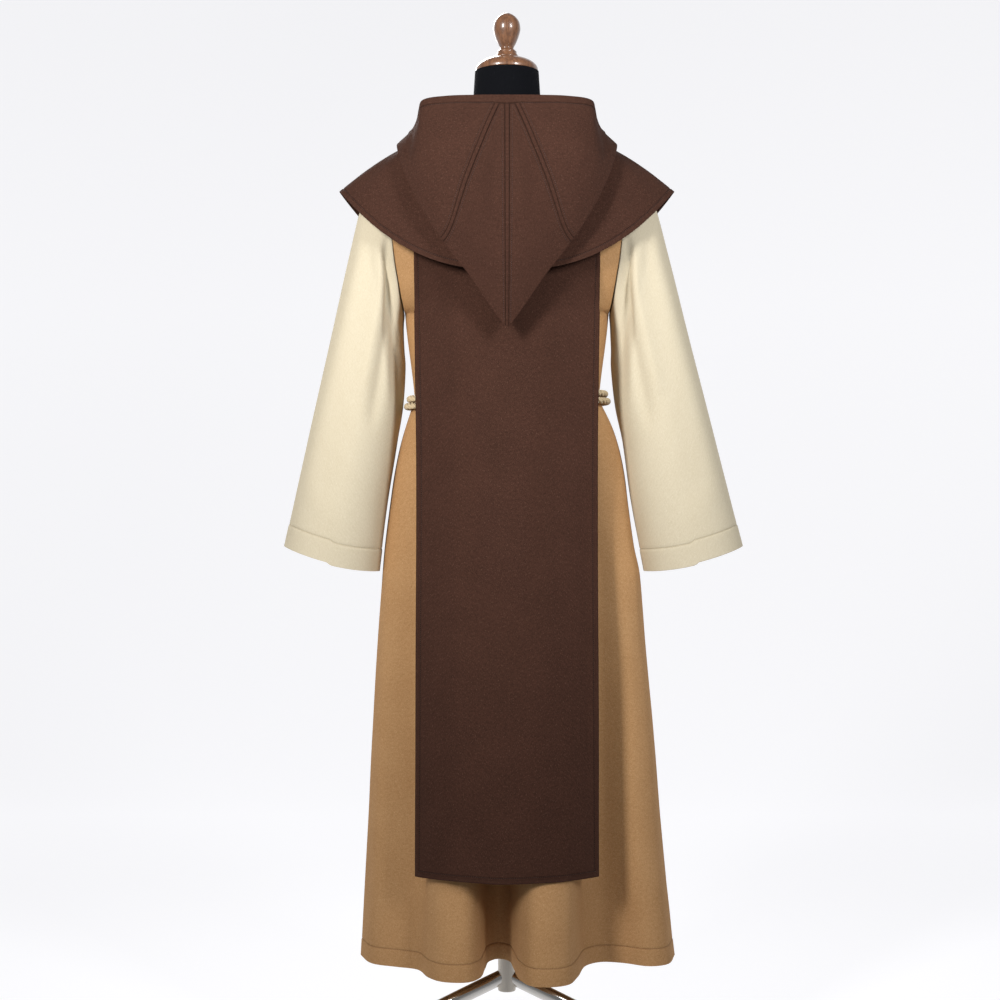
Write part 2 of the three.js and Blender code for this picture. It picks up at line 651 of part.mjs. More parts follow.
const HOOD_SWELL = [
  { turn: 0, x: 0, y: 208, z: 1490 },
  { turn: 0.12, x: 45, y: 205, z: 1510 },
  { turn: 0.23, x: 100, y: 190, z: 1550 },
  { turn: 0.35, x: 146, y: 150, z: 1600 },
  { turn: 0.42, x: 160, y: 106, z: 1626 },
  { turn: 0.5, x: 165, y: 48, z: 1640 },
  { turn: 0.64, x: 151, y: -55, z: 1652 },
  { turn: 0.8, x: 95, y: -134, z: 1612 },
  { turn: 1, x: 0, y: -164, z: 1570 },
];

// The hood's outer layer: down runs from the rim (0) to the fold (1)
function hoodPoint(side, turn, down) {
  const rim = vector(readTable(HOOD_RIM, "turn", turn));
  const swell = vector(readTable(HOOD_SWELL, "turn", turn));
  const fold = vector(readTable(HOOD_FOLD, "turn", turn));
  return mirrored(bend(rim, swell, fold, down), side);
}
const HOOD_DOWN = spread(0, 1, 9);

// The slanting seam that parts each gore from the side panel
const SLANT_SEAM = { atRim: 0.024, atFold: 0.272 };
const GORE_SHARES = spread(0, 1, 5);
const SIDE_SHARES = spread(0, 1, 12);
const FOLD_TURNS = [
  ...GORE_SHARES.map((share) => share * SLANT_SEAM.atFold),
  ...SIDE_SHARES.slice(1).map((share) => mix(SLANT_SEAM.atFold, 1, share)),
];
const slantTurn = (down) => mix(SLANT_SEAM.atRim, SLANT_SEAM.atFold, down);

for (const [label, side] of [["left", 1], ["right", -1]]) {
  const layer = (turn, down) => hoodPoint(side, turn, down);
  layer.range = { u: [0, 1], v: [0, 1] };
  addNode(`hood_gore_${label}`, clothWall({
    across: GORE_SHARES,
    down: HOOD_DOWN,
    surface: layer,
    place: (share, down) => [share * slantTurn(down), down],
    side: side,
    thickness: CAPE_WALL,
    mirror: true,
    trim: { left: SEAM_GAP / 2, right: SEAM_GAP / 2 },
  }), BROWN_WOOL);
  addNode(`hood_side_${label}`, clothWall({
    across: SIDE_SHARES,
    down: HOOD_DOWN,
    surface: layer,
    place: (share, down) => [mix(slantTurn(down), 1, share), down],
    side: side,
    thickness: CAPE_WALL,
    mirror: true,
    trim: { left: SEAM_GAP / 2, right: SEAM_GAP / 2 },
  }), BROWN_WOOL);
}

// The hood's under layer: it leaves the neck seam (0), follows the cape a little above it, and
// ends inside the fold (1)
const NAPE_LIFT = 5;
const NAPE_PLAN = { halfWidth: 230, depth: 140 };
const NAPE_REACH = 1.25;
const NAPE_CORNER = { lift: 2.1, turn: 0.58, width: 0.12 };
const NAPE_LEAVES_CAPE = 0.4;
const NAPE_FLAT_AT_CENTRE = 0.04;
function napePoint(around, down) {
  const side = around <= 1 ? 1 : -1;
  const turn = side > 0 ? around : 2 - around;
  const layer = (t, d) => hoodPoint(1, t, d);
  const fold = layer(turn, 1);
  const foldOut = surfaceNormal(layer, turn, 1, { u: [0, 1], v: [0, 1] }, 1);
  foldOut.x *= smooth(Math.min(turn, 1 - turn) / NAPE_FLAT_AT_CENTRE);
  const end = fold.clone().addScaledVector(foldOut, -2 * CAPE_WALL - 2 * LAYER_GAP);
  const bed = (t, d) => capePoint(1, t, d);
  const capeTurn = Math.atan2(fold.x / NAPE_PLAN.halfWidth, fold.y / NAPE_PLAN.depth) / Math.PI;
  const reaches = spread(0, NAPE_REACH, 50).map((d) => ({ d, gap: bed(capeTurn, d).distanceTo(end) }));
  const reach = reaches.reduce((a, b) => (b.gap < a.gap ? b : a)).d;
  const besideCorner = Math.abs(capeTurn - NAPE_CORNER.turn) / NAPE_CORNER.width;
  const corner = NAPE_CORNER.lift * smooth(1.6 - besideCorner);
  const under = Math.min(down * reach, NAPE_REACH);
  const out = surfaceNormal(bed, capeTurn, under, { u: [0, 1], v: [0, NAPE_REACH] }, 1);
  const lift = LAYER_GAP + corner + NAPE_LIFT * smooth(down * 3);
  const laid = bed(capeTurn, under).addScaledVector(out, lift);
  return mirrored(laid.lerp(end, smooth((down - NAPE_LEAVES_CAPE) / (1 - NAPE_LEAVES_CAPE))), side);
}
addNode("hood_nape", clothWall({
  across: [...FOLD_TURNS, ...FOLD_TURNS.toReversed().slice(1).map((turn) => 2 - turn)],
  down: spread(0, 1, 6),
  point: (around, down) => napePoint(around, down),
  side: -1,
  thickness: CAPE_WALL,
  closed: true,
}), BROWN_WOOL);

// Cincture: two wraps of rope round the waist, their ends under the knot
const KNOT_TURN = 1.19 * Math.PI;
const KNOT_REACH = { along: 15, up: 16, out: 13 };
const WRAP_SPACING = ROPE_DIAMETER + ROPE_GAP;
const WRAP_TILT = 4.5;
const WRAP_SLACK = 3.5;
const ROPE_SIDES = 8;
const KNOT_STANDOFF = 3;
const END_CLEAR_OF_KNOT = 0.1;

function ropeTube(points, steps) {
  const path = new THREE.CatmullRomCurve3(points, false, "centripetal");
  path.arcLengthDivisions = 600;
  const radius = ROPE_DIAMETER / 2;
  const outline = spread(0, 2 * Math.PI, ROPE_SIDES).slice(0, ROPE_SIDES)
    .map((angle) => new THREE.Vector2(radius * Math.cos(angle), radius * Math.sin(angle)));
  return new THREE.ExtrudeGeometry(new THREE.Shape(outline), { steps, extrudePath: path });
}

const waistOut = (theta, z = WAIST_Z) => {
  const flat = tunicPoint(theta, tunicLevelAt(Math.min(z - ROPE_DIAMETER / 2, WAIST_Z)));
  const out = new THREE.Vector3(Math.cos(theta) / WAIST_X, Math.sin(theta) / WAIST_DEPTH, 0).normalize();
  return { flat, out };
};
const knotPlace = waistOut(KNOT_TURN);
const knotOffset = KNOT_REACH.out + ROPE_GAP + KNOT_STANDOFF;
const knotMiddle = knotPlace.flat.clone().addScaledVector(knotPlace.out, knotOffset);
const WRAP_FROM = KNOT_TURN + END_CLEAR_OF_KNOT;
const WRAP_TO = KNOT_TURN + 2 * Math.PI - END_CLEAR_OF_KNOT;
for (const [name, order] of [["cincture_wrap_upper", 0.5], ["cincture_wrap_lower", -0.5]]) {
  const points = spread(WRAP_FROM, WRAP_TO, 40).map((turn) => {
    const theta = turn % (2 * Math.PI);
    const z = WAIST_Z - 1 + order * WRAP_SPACING - WRAP_TILT * Math.cos(theta);
    const { flat, out } = waistOut(theta, z);
    const slack = WRAP_SLACK * smooth(-flat.x / WAIST_X);
    return flat.addScaledVector(out, ROPE_DIAMETER / 2 + ROPE_GAP + slack).setZ(z);
  });
  addNode(name, ropeTube(points, 42), NATURAL_ROPE);
}

function ellipsoid(middle, reach, turn) {
  const geometry = new THREE.SphereGeometry(1, 12, 8);
  geometry.rotateX(Math.PI / 2);
  geometry.scale(reach.out, reach.along, reach.up);
  geometry.rotateZ(turn);
  geometry.translate(middle.x, middle.y, middle.z);
  return geometry;
}
const knotFacing = Math.atan2(knotPlace.out.y, knotPlace.out.x);
addNode("cincture_knot", ellipsoid(knotMiddle, KNOT_REACH, knotFacing), NATURAL_ROPE);

// Cincture tails: they hang from the knot down the skirt, each to its own knot
const TAILS = [
  { label: "a", turn: 1.185, end: 2.535 },
  { label: "b", turn: 1.235, end: 2.475 },
];
const TAIL_START = 2.03;
const TAIL_STANDOFF = 4.5;
const TAIL_KNOT = { along: 10, up: 13, out: 10 };
for (const tail of TAILS) {
  const theta = tail.turn * Math.PI;
  const range = { u: FRONT_RANGE, v: tunicPoint.range.v };
  const points = spread(TAIL_START, tail.end, 16).map((level) => {
    const out = surfaceNormal(tunicPoint, theta, level, range, -1);
    return tunicPoint(theta, level).addScaledVector(out, ROPE_DIAMETER / 2 + ROPE_GAP + TAIL_STANDOFF);
  });
  addNode(`cincture_tail_${tail.label}`, ropeTube(points, 18), NATURAL_ROPE);
  const end = points.at(-1).clone();
  end.z -= TAIL_KNOT.up + SEAM_GAP;
  addNode(`tail_knot_${tail.label}`, ellipsoid(end, TAIL_KNOT, knotFacing), NATURAL_ROPE);
}

// Dress form: rings from the flat bottom of the torso up to the neck cap
const FORM_RINGS = [
  { z: FORM_BOTTOM_Z, halfWidth: 148, depth: 96 },
  { z: 930, halfWidth: 158, depth: 103 },
  { z: 1000, halfWidth: 154, depth: 102 },
  { z: 1090, halfWidth: 144, depth: 94 },
  { z: WAIST_Z, halfWidth: 138, depth: 88 },
  { z: 1260, halfWidth: 154, depth: 94 },
  { z: 1350, halfWidth: 170, depth: 104 },
  { z: 1450, halfWidth: 178, depth: 106 },
  { z: 1530, halfWidth: 184, depth: 98 },
  { z: 1575, halfWidth: 182, depth: 60 },
];
const FORM_NECK = [
  { z: 1639, halfWidth: 68, depth: 46, front: 32 },
  { z: 1662, halfWidth: 62, depth: 50, front: 44 },
  { z: 1708, halfWidth: 58.5, depth: 53, front: 49 },
  { z: NECK_TOP_Z, halfWidth: 55.8, depth: 54, front: 52 },
];
// The tunic hangs on the form's shoulder line, which lies just under the tunic's
const FORM_SHOULDER = [
  { halfWidth: 186, depth: 34 },
  { halfWidth: 165, depth: 44 },
  { halfWidth: 117, depth: 46, front: 38 },
  { halfWidth: 79, depth: 46, front: 32 },
];
const SHOULDER_SLOPE = Math.atan2(NECK_POINT_Z - SHOULDER_TIP_Z, SHOULDER_TIP_X - NECK_POINT_X);
const SHOULDER_SEAT = TUNIC_WALL / Math.cos(SHOULDER_SLOPE) + LAYER_GAP - 0.1;
const formShoulder = FORM_SHOULDER.map((row) => ({ ...row, z: ridgeZ(row.halfWidth) - SHOULDER_SEAT }));
const formRings = [...FORM_RINGS, ...formShoulder, ...FORM_NECK];
const FORM_SIDES = 24;
const FORM_ANGLES = spread(0, 2 * Math.PI, FORM_SIDES).slice(0, FORM_SIDES);
const formRing = ({ z, halfWidth, depth, front = depth }) => FORM_ANGLES
  .map((angle) => {
    const sine = Math.sin(angle);
    return new THREE.Vector3(halfWidth * Math.cos(angle), (sine > 0 ? depth : front) * sine, z);
  });
addNode("form_torso", loft(formRings.map(formRing)), BLACK_JERSEY);

// A turned piece from a profile that starts and ends on the axis
function turned(profile, segments) {
  const geometry = new THREE.LatheGeometry(profile.map(([r, z]) => new THREE.Vector2(r, z)), segments);
  geometry.rotateX(Math.PI / 2);
  return geometry;
}

// The cap is a low dome, an ellipse in section, cut flat where the finial stands on it
const CAP_RADIUS = 54.5;
const CAP_CROWN_RADIUS = 21.5;
const CAP_RIM = 3;
const CAP_CHAMFER = { across: 1.2, up: 1.2 };
const CAP_TOP_Z = 1773.5;
const CAP_BOTTOM_Z = NECK_TOP_Z + SEAM_GAP;
const CAP_CROWN_ANGLE = Math.acos(CAP_CROWN_RADIUS / CAP_RADIUS);
const CAP_DOME_HEIGHT = (CAP_TOP_Z - CAP_BOTTOM_Z - CAP_RIM) / Math.sin(CAP_CROWN_ANGLE);
const capProfile = [
  [0, CAP_BOTTOM_Z],
  [CAP_RADIUS - CAP_CHAMFER.across, CAP_BOTTOM_Z],
  [CAP_RADIUS, CAP_BOTTOM_Z + CAP_CHAMFER.up],
  ...spread(0, CAP_CROWN_ANGLE, 5).map((angle) => [
    CAP_RADIUS * Math.cos(angle),
    CAP_BOTTOM_Z + CAP_RIM + CAP_DOME_HEIGHT * Math.sin(angle),
  ]),
  [0, CAP_TOP_Z],
];
addNode("form_neck_cap", turned(capProfile, 22), VARNISHED_WOOD);

const FINIAL = [
  { z: 0, radius: 20.6 },
  { z: 2, radius: 20.6 },
  { z: 7.5, radius: 17 },
  { z: 10.5, radius: 16.4 },
  { z: 14, radius: 12.4 },
  { z: 16, radius: 11.7 },
  { z: 19, radius: 12.6 },
  { z: 25, radius: 15.8 },
  { z: 36, radius: 20.3 },
  { z: 47, radius: 23.4 },
  { z: 55, radius: 23.4 },
  { z: 64, radius: 20.9 },
  { z: 70, radius: 16.5 },
  { z: 75, radius: 10.2 },
];
const FINIAL_BASE_Z = CAP_TOP_Z + SEAM_GAP;
const FINIAL_HEIGHT = 78.5;
addNode("form_finial", turned([
  [0, FINIAL_BASE_Z],
  ...FINIAL.map(({ z, radius }) => [radius, FINIAL_BASE_Z + z]),
  [0, FINIAL_BASE_Z + FINIAL_HEIGHT],
], 16), VARNISHED_WOOD);

// Stand: an upright pole, two sloping legs that meet it, and a cross foot under each leg
const POLE_RADIUS = 15.5;
const POLE_BOTTOM_Z = 142;
const LEG_RADIUS = 13;
const LEG_ROOT_X = 2;
const LEG_ROOT_Z = 169;
const LEG_TOE_Z = 16;
const FOOT_X = 318;
const FOOT_LENGTH = 300;
const FOOT_SIDE = 28;
const FOOT_CHAMFER = 5;

function cylinderBetween(from, to, radius, sides) {
  const along = to.clone().sub(from);
  const geometry = new THREE.CylinderGeometry(radius, radius, along.length(), sides);
  const upright = new THREE.Vector3(0, 1, 0);
  geometry.applyQuaternion(new THREE.Quaternion().setFromUnitVectors(upright, along.normalize()));
  const middle = from.clone().add(to).multiplyScalar(0.5);
  geometry.translate(middle.x, middle.y, middle.z);
  return geometry;
}

function toSolid(geometry) {
  const plain = geometry.clone();
  plain.deleteAttribute("normal");
  plain.deleteAttribute("uv");
  const merged = mergeVertices(plain, 1e-4);
  return new wasm.Manifold(new wasm.Mesh({
    numProp: 3,
    vertProperties: new Float32Array(merged.attributes.position.array),
    triVerts: new Uint32Array(merged.index.array),
  }));
}

function fromSolid(solid) {
  const mesh = solid.getMesh();
  const positions = [];
  for (let k = 0; k < mesh.vertProperties.length; k += mesh.numProp) {
    positions.push(...mesh.vertProperties.subarray(k, k + 3));
  }
  return closedGeometry(positions, [...mesh.triVerts]);
}

const poleBottom = new THREE.Vector3(0, 0, POLE_BOTTOM_Z);
const poleTop = new THREE.Vector3(0, 0, FORM_BOTTOM_Z - SEAM_GAP);
addNode("stand_pole", cylinderBetween(poleBottom, poleTop, POLE_RADIUS, 20), POLE_METAL);
const poleSeat = toSolid(cylinderBetween(new THREE.Vector3(0, 0, 0), poleTop, POLE_RADIUS + SEAM_GAP, 20));

function footShape(grow) {
  const half = FOOT_SIDE / 2 + grow;
  const corner = half - FOOT_CHAMFER;
  const outline = [[half, -corner], [half, corner], [corner, half], [-corner, half]];
  const otherHalf = outline.map(([x, y]) => [-x, -y]);
  const points = [...outline, ...otherHalf].map(([x, y]) => new THREE.Vector2(x, y + FOOT_SIDE / 2));
  return new THREE.Shape(points);
}

function footBar(side, grow) {
  const length = FOOT_LENGTH + 2 * grow;
  const geometry = new THREE.ExtrudeGeometry(footShape(grow), { depth: length, bevelEnabled: false });
  geometry.rotateX(Math.PI / 2);
  geometry.translate(side * FOOT_X, length / 2, 0);
  return geometry;
}

for (const [label, side] of [["left", 1], ["right", -1]]) {
  addNode(`stand_foot_${label}`, footBar(side, 0), CHROME);
  const root = new THREE.Vector3(side * LEG_ROOT_X, 0, LEG_ROOT_Z);
  const toe = new THREE.Vector3(side * FOOT_X, 0, LEG_TOE_Z);
  const leg = toSolid(cylinderBetween(root, toe, LEG_RADIUS, 16))
    .subtract(poleSeat)
    .subtract(toSolid(footBar(side, SEAM_GAP)));
  const pieces = leg.decompose().sort((a, b) => b.volume() - a.volume());
  addNode(`stand_leg_${label}`, fromSolid(pieces[0]), CHROME);
}

export default group;
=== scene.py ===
"""A monastic habit on a limbless dress form, seen from behind: tan wool tunic with wide cream
sleeves, brown scapular, brown shoulder cape with a pointed hood, and a twisted rope cincture."""

import math

import bmesh
import bpy
import numpy as np
from mathutils import Matrix, Vector


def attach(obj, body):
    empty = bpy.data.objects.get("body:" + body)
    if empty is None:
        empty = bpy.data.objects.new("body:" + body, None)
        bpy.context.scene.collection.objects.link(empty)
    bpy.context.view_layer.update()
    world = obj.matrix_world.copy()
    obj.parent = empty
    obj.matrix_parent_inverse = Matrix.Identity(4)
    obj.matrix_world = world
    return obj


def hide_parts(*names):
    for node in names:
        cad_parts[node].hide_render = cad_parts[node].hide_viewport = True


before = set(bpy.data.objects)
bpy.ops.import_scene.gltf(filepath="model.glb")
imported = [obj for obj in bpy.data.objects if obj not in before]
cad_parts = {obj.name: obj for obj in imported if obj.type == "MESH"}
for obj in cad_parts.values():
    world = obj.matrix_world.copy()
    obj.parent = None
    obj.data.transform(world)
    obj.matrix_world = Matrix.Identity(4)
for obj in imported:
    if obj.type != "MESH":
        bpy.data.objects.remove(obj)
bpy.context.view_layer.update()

# Camera and light. The picture is taken level from behind, at hip height. Two tall soft lamps stand
# beside the camera and a square one before the garment's front, in a pale room.
PICTURE_WIDTH = 1.75
CAMERA_DISTANCE = 3.2
CAMERA_PLACE = Vector((0.012, CAMERA_DISTANCE, 1.0))
SENSOR_WIDTH = 36
SHOULDER_BLADES, CHEST = (0, 0, 1.52), (0, 0, 1.4)
TALL_LAMP, SQUARE_LAMP = (0.5, 1.2), (1.2, 1.2)
ROOM_TINT, ROOM_STRENGTH = (0.97, 0.975, 1, 1), 0.19

scene = bpy.context.scene
scene.view_settings.view_transform = "Standard"
eye = bpy.data.cameras.new("camera")
eye.sensor_width = SENSOR_WIDTH
eye.lens = eye.sensor_width * CAMERA_DISTANCE / PICTURE_WIDTH
camera = bpy.data.objects.new("camera", eye)
camera.location = CAMERA_PLACE
camera.rotation_euler = (math.pi / 2, 0, math.pi)
scene.collection.objects.link(camera)
scene.camera = camera


def soft_lamp(name, place, aim, size, spread, watts, tint):
    lamp = bpy.data.lights.new(name, "AREA")
    lamp.shape = "RECTANGLE"
    lamp.size, lamp.size_y = size
    lamp.spread = math.radians(spread)
    lamp.energy = watts
    lamp.color = tint
    holder = bpy.data.objects.new(name, lamp)
    holder.location = place
    holder.rotation_euler = (Vector(aim) - Vector(place)).to_track_quat("-Z", "Y").to_euler()
    scene.collection.objects.link(holder)


soft_lamp("key", (1.6, 2.5, 2.35), SHOULDER_BLADES, TALL_LAMP, 62, 14.5, (1, 0.985, 0.96))
soft_lamp("fill", (-1.7, 2.4, 2.3), SHOULDER_BLADES, TALL_LAMP, 62, 9, (0.98, 0.99, 1))
soft_lamp("front", (0.6, -2.6, 2.8), CHEST, SQUARE_LAMP, 80, 14, (1, 1, 1))
room = bpy.data.worlds.new("room")
room.use_nodes = True
backdrop = room.node_tree.nodes["Background"]
backdrop.inputs["Color"].default_value = ROOM_TINT
backdrop.inputs["Strength"].default_value = ROOM_STRENGTH
scene.world = room

# Tunic form. All the cloth hangs on the tunic's own form, in millimetres: theta runs round it from
# the left side seam over the back, and level from the shoulder line (0) by the underarm (1) and
# the waist (2) to the hem (3). The rope, the scapular and the cape are laid on it.
MM = 0.001
HEM_Z, SCAPULAR_HEM_Z, FORM_BOTTOM_Z, WAIST_Z, UNDERARM_Z = 205, 370, 900, 1175, 1325
SHOULDER_TIP_Z, NECK_POINT_Z, NECK_TOP_Z = 1590, 1640, 1749
NECK_POINT_X, SHOULDER_TIP_X, UNDERARM_X, WAIST_X, WAIST_DEPTH = 75, 195, 178, 161, 100
NECK_DEPTH_BACK, NECK_DEPTH_FRONT, BACK_NECK_RISE, FRONT_NECK_DROP = 58, 62, 6, 42
ARMHOLE_DEPTH, YOKE_ROUNDING, YOKE_SWELL = 70, 0.3, 11
FLAT_POWER, ROUND_POWER, ROUNDING_ABOVE, ROUNDING_SPAN = 2.2, 0.9, 0.4, 0.8
WAIST_EASE, EVEN_SWELL, SWELL_BY_SWING, FOLD_FADE = 0.4, 0.55, 0.4, 1.6


def mix(a, b, t):
    return a + (b - a) * t


def smooth(t):
    c = np.clip(t, 0, 1)
    return c * c * (3 - 2 * c)


def table(columns, *rows):
    return dict(zip(columns.split(), np.array(rows, float).T))


def along(rows, value, *names):
    """The named columns at each value of the first one, on a smooth curve through the rows"""
    keys = next(iter(rows.values()))
    inside = np.clip(value, keys[0], keys[-1])
    i = np.clip(np.searchsorted(keys, inside) - 1, 0, len(keys) - 2)
    before = np.maximum(i - 1, 0)
    after = np.minimum(i + 2, len(keys) - 1)
    step = keys[i + 1] - keys[i]
    t = (inside - keys[i]) / step
    found = []
    for name in names:
        column = rows[name]
        slope_in = (column[i + 1] - column[before]) / (keys[i + 1] - keys[before]) * step
        slope_out = (column[after] - column[i]) / (keys[after] - keys[i]) * step
        cubic = 2 * column[i] - 2 * column[i + 1] + slope_in + slope_out
        square = 3 * (column[i + 1] - column[i]) - 2 * slope_in - slope_out
        found.append(((cubic * t + square) * t + slope_in) * t + column[i])
    return found


BODY_DEPTH = table(
    "z back front",
    (WAIST_Z, WAIST_DEPTH, WAIST_DEPTH),
    (1250, 110, 108),
    (UNDERARM_Z, 116, 116),
    (1400, 118, 120),
    (1500, 116, 116),
    (1600, 112, 112),
    (1660, 112, 112),
)
SKIRT_SWING = table(
    "z left right",
    (HEM_Z, 1, 1),
    (256, 0.97, 0.95),
    (440, 0.87, 0.82),
    (562, 0.81, 0.75),
    (737, 0.71, 0.63),
    (870, 0.615, 0.55),
    (918, 0.57, 0.47),
    (990, 0.47, 0.39),
    (1045, 0.385, 0.34),
    (1090, 0.286, 0.27),
    (1130, 0.165, 0.17),
    (WAIST_Z, 0, 0),
)
HEM_BACK = table(
    "x y",
    (256, 0), (231, 64), (188, 87), (152, 104), (130, 156), (106, 184), (66, 188), (46, 160),
    (38, 100), (31, 48), (14, 30), (-3, 44), (-12, 96), (-22, 168), (-42, 213), (-73, 217), (-101, 202),
    (-118, 152), (-136, 76), (-163, 53), (-200, 60), (-242, 82), (-273, 70), (-294, 0),
)
HEM_FRONT = table(
    "x y",
    (-294, 0), (-273, -66), (-228, -98), (-186, -104), (-150, -150), (-112, -208), (-66, -216),
    (-34, -170), (-6, -122), (28, -150), (62, -202), (108, -206), (146, -150), (184, -104),
    (230, -78), (256, 0),
)


def smooth_path(points, steps=40):
    """Points close together on a centripetal curve through the given ones"""
    ends = [2 * points[0] - points[1]], points, [2 * points[-1] - points[-2]]
    p = np.concatenate(ends)
    gap = np.sqrt(np.linalg.norm(np.diff(p, axis=0), axis=1))
    t = np.linspace(0, 1, steps, endpoint=False)[:, None]
    spans = []
    for k in range(1, len(p) - 2):
        before, here, after = gap[k - 1], gap[k], gap[k + 1]
        out = (p[k] - p[k - 1]) / before - (p[k + 1] - p[k - 1]) / (before + here)
        out = (out + (p[k + 1] - p[k]) / here) * here
        into = (p[k + 1] - p[k]) / here - (p[k + 2] - p[k]) / (here + after)
        into = (into + (p[k + 2] - p[k + 1]) / after) * here
        cubic = 2 * p[k] - 2 * p[k + 1] + out + into
        square = 3 * (p[k + 1] - p[k]) - 2 * out - into
        spans.append(((cubic * t + square) * t + out) * t + p[k])
    return np.concatenate([*spans, p[-2:-1]])


def lengths(points):
    """How far each point lies along the line through them all"""
    steps = np.linalg.norm(np.diff(points, axis=0), axis=-1)
    return np.concatenate([np.zeros_like(steps[:1]), np.cumsum(steps, axis=0)])


def hem_line(rows):
    path = smooth_path(np.stack([rows["x"], rows["y"]], axis=1))
    share = lengths(path)
    share = share / share[-1]
    return lambda at: (np.interp(at, share, path[:, 0]), np.interp(at, share, path[:, 1]))


hem_back = hem_line(HEM_BACK)
hem_front = hem_line(HEM_FRONT)


def ridge_z(x):
    share = (np.abs(x) - NECK_POINT_X) / (SHOULDER_TIP_X - NECK_POINT_X)
    return mix(NECK_POINT_Z, SHOULDER_TIP_Z, share)


def section_depth(theta, drop):
    flat = 1 - np.abs(np.cos(theta)) ** FLAT_POWER
    round_ = np.abs(np.sin(theta)) ** ROUND_POWER
    return mix(flat, round_, smooth((drop + ROUNDING_ABOVE) / ROUNDING_SPAN))


def yoke(theta, drop):
    back = theta <= np.pi
    x0 = SHOULDER_TIP_X * np.cos(theta)
    over_neck = np.abs(x0) < NECK_POINT_X
    neck = np.sqrt(np.maximum(0, 1 - (x0 / NECK_POINT_X) ** 2))
    rise = np.where(back, BACK_NECK_RISE * neck, -FRONT_NECK_DROP * neck**2)
    top = np.where(over_neck, NECK_POINT_Z + rise, ridge_z(x0))
    z = mix(top, UNDERARM_Z, drop)
    side = mix(SHOULDER_TIP_X, UNDERARM_X, drop) + YOKE_SWELL * np.sin(np.pi * drop)
    top_depth = np.where(over_neck, neck * np.where(back, NECK_DEPTH_BACK, NECK_DEPTH_FRONT), 0)
    back_depth, front_depth = along(BODY_DEPTH, z, "back", "front")
    rounding = np.sqrt(1 - (1 - np.minimum(drop / YOKE_ROUNDING, 1)) ** 2)
    middle = mix(top_depth, np.where(back, back_depth, front_depth), rounding)
    armhole = ARMHOLE_DEPTH * np.sqrt(np.maximum(0, 1 - (1 - 2 * drop) ** 2))
    depth = mix(armhole, middle, section_depth(theta, drop - 1))
    return side * np.cos(theta), np.where(back, depth, -depth), z


def body(theta, drop):
    back = theta <= np.pi
    z = mix(UNDERARM_Z, WAIST_Z, drop)
    back_depth, front_depth = along(BODY_DEPTH, z, "back", "front")
    width = mix(UNDERARM_X, WAIST_X, mix(drop, smooth(drop), WAIST_EASE))
    yoke_heights = (UNDERARM_Z - WAIST_Z) / (SHOULDER_TIP_Z - UNDERARM_Z)
    depth = np.where(back, back_depth, -front_depth) * section_depth(theta, drop * yoke_heights)
    return width * np.cos(theta), depth, z


def skirt(theta, drop):
    back = theta <= np.pi
    z = mix(WAIST_Z, HEM_Z, drop)
    waist_x, waist_y, _ = body(theta, np.ones_like(theta))
    behind = hem_back(theta / np.pi)
    before = hem_front(theta / np.pi - 1)
    hem_x = np.where(back, behind[0], before[0])
    hem_y = np.where(back, behind[1], before[1])
    left, right = along(SKIRT_SWING, z, "left", "right")
    across = mix(right, left, (np.cos(theta) + 1) / 2)
    folds = drop**FOLD_FADE
    flare = mix(drop, across, SWELL_BY_SWING) * (1 - folds)
    even = waist_y * (1 + EVEN_SWELL * flare)
    return mix(waist_x, hem_x, across), mix(even, hem_y, folds), z


def tunic(theta, level):
    """A point of the tunic's outer face"""
    theta, level = np.broadcast_arrays(np.asarray(theta, float), np.asarray(level, float))
    upper = yoke(theta, np.clip(level, 0, 1))
    middle = body(theta, np.clip(level - 1, 0, 1))
    lower = skirt(theta, np.clip(level - 2, 0, 1))
    pick = [np.where(level <= 1, a, np.where(level <= 2, b, c)) for a, b, c in zip(upper, middle, lower)]
    return np.stack(pick, axis=-1)


def tunic_outward(theta, level):
    """The direction straight out of the tunic at a point"""
    step = 0.0006
    half = np.where(theta <= np.pi, 0, np.pi)
    low = np.maximum(theta - step, half + 1e-4)
    high = np.minimum(theta + step, half + np.pi - 1e-4)
    round_it = tunic(high, level) - tunic(low, level)
    down_it = tunic(theta, np.minimum(level + step, 3)) - tunic(theta, np.maximum(level - step, 0))
    out = np.cross(down_it, round_it)
    return out / np.linalg.norm(out, axis=-1, keepdims=True)


def level_at(z):
    below = 2 + (WAIST_Z - z) / (WAIST_Z - HEM_Z)
    return np.where(z > WAIST_Z, 1 + (UNDERARM_Z - z) / (UNDERARM_Z - WAIST_Z), below)


# Cincture: a soft cotton rope of three twisted strands, wound twice round the waist and knotted at
# the wearer's front right. Its two ends hang down the skirt from the knot and each ends in a knot.
ROPE_DIAMETER = 12
ROPE_GAP = 0.8
ROPE_LAY = 34
STRAND_RADIUS = 0.232 * ROPE_DIAMETER
STRANDS, STRAND_CENTRE, STRAND_STEP, END_ROUNDING = 3, 1.1547, 2.2, 4
KNOT_TURN = 1.19 * math.pi
KNOT_OUT = 16.8
WAIST_KNOT = {"half": 15, "radius": 13.5, "turns": 2.6}
END_KNOT = {"half": 13, "radius": 10, "turns": 3}
KNOT_LAY, KNOT_CORE = 0.6 * ROPE_LAY, 0.9
WRAP_SPACING = ROPE_DIAMETER + ROPE_GAP
WRAP_TILT, WRAP_SLACK, END_CLEAR_OF_KNOT = 4.5, 3.5, 0.1
TAILS = {"a": (1.185 * math.pi, 2.535), "b": (1.235 * math.pi, 2.475)}
TAIL_START, TAIL_STANDOFF = 2.03, 4.5


def colour(red, green, blue):
    """A colour that is given as it looks on a screen, from 0 to 255"""
    parts = [channel / 255 for channel in (red, green, blue)]
    return (*[c / 12.92 if c <= 0.04045 else ((c + 0.055) / 1.055) ** 2.4 for c in parts], 1)


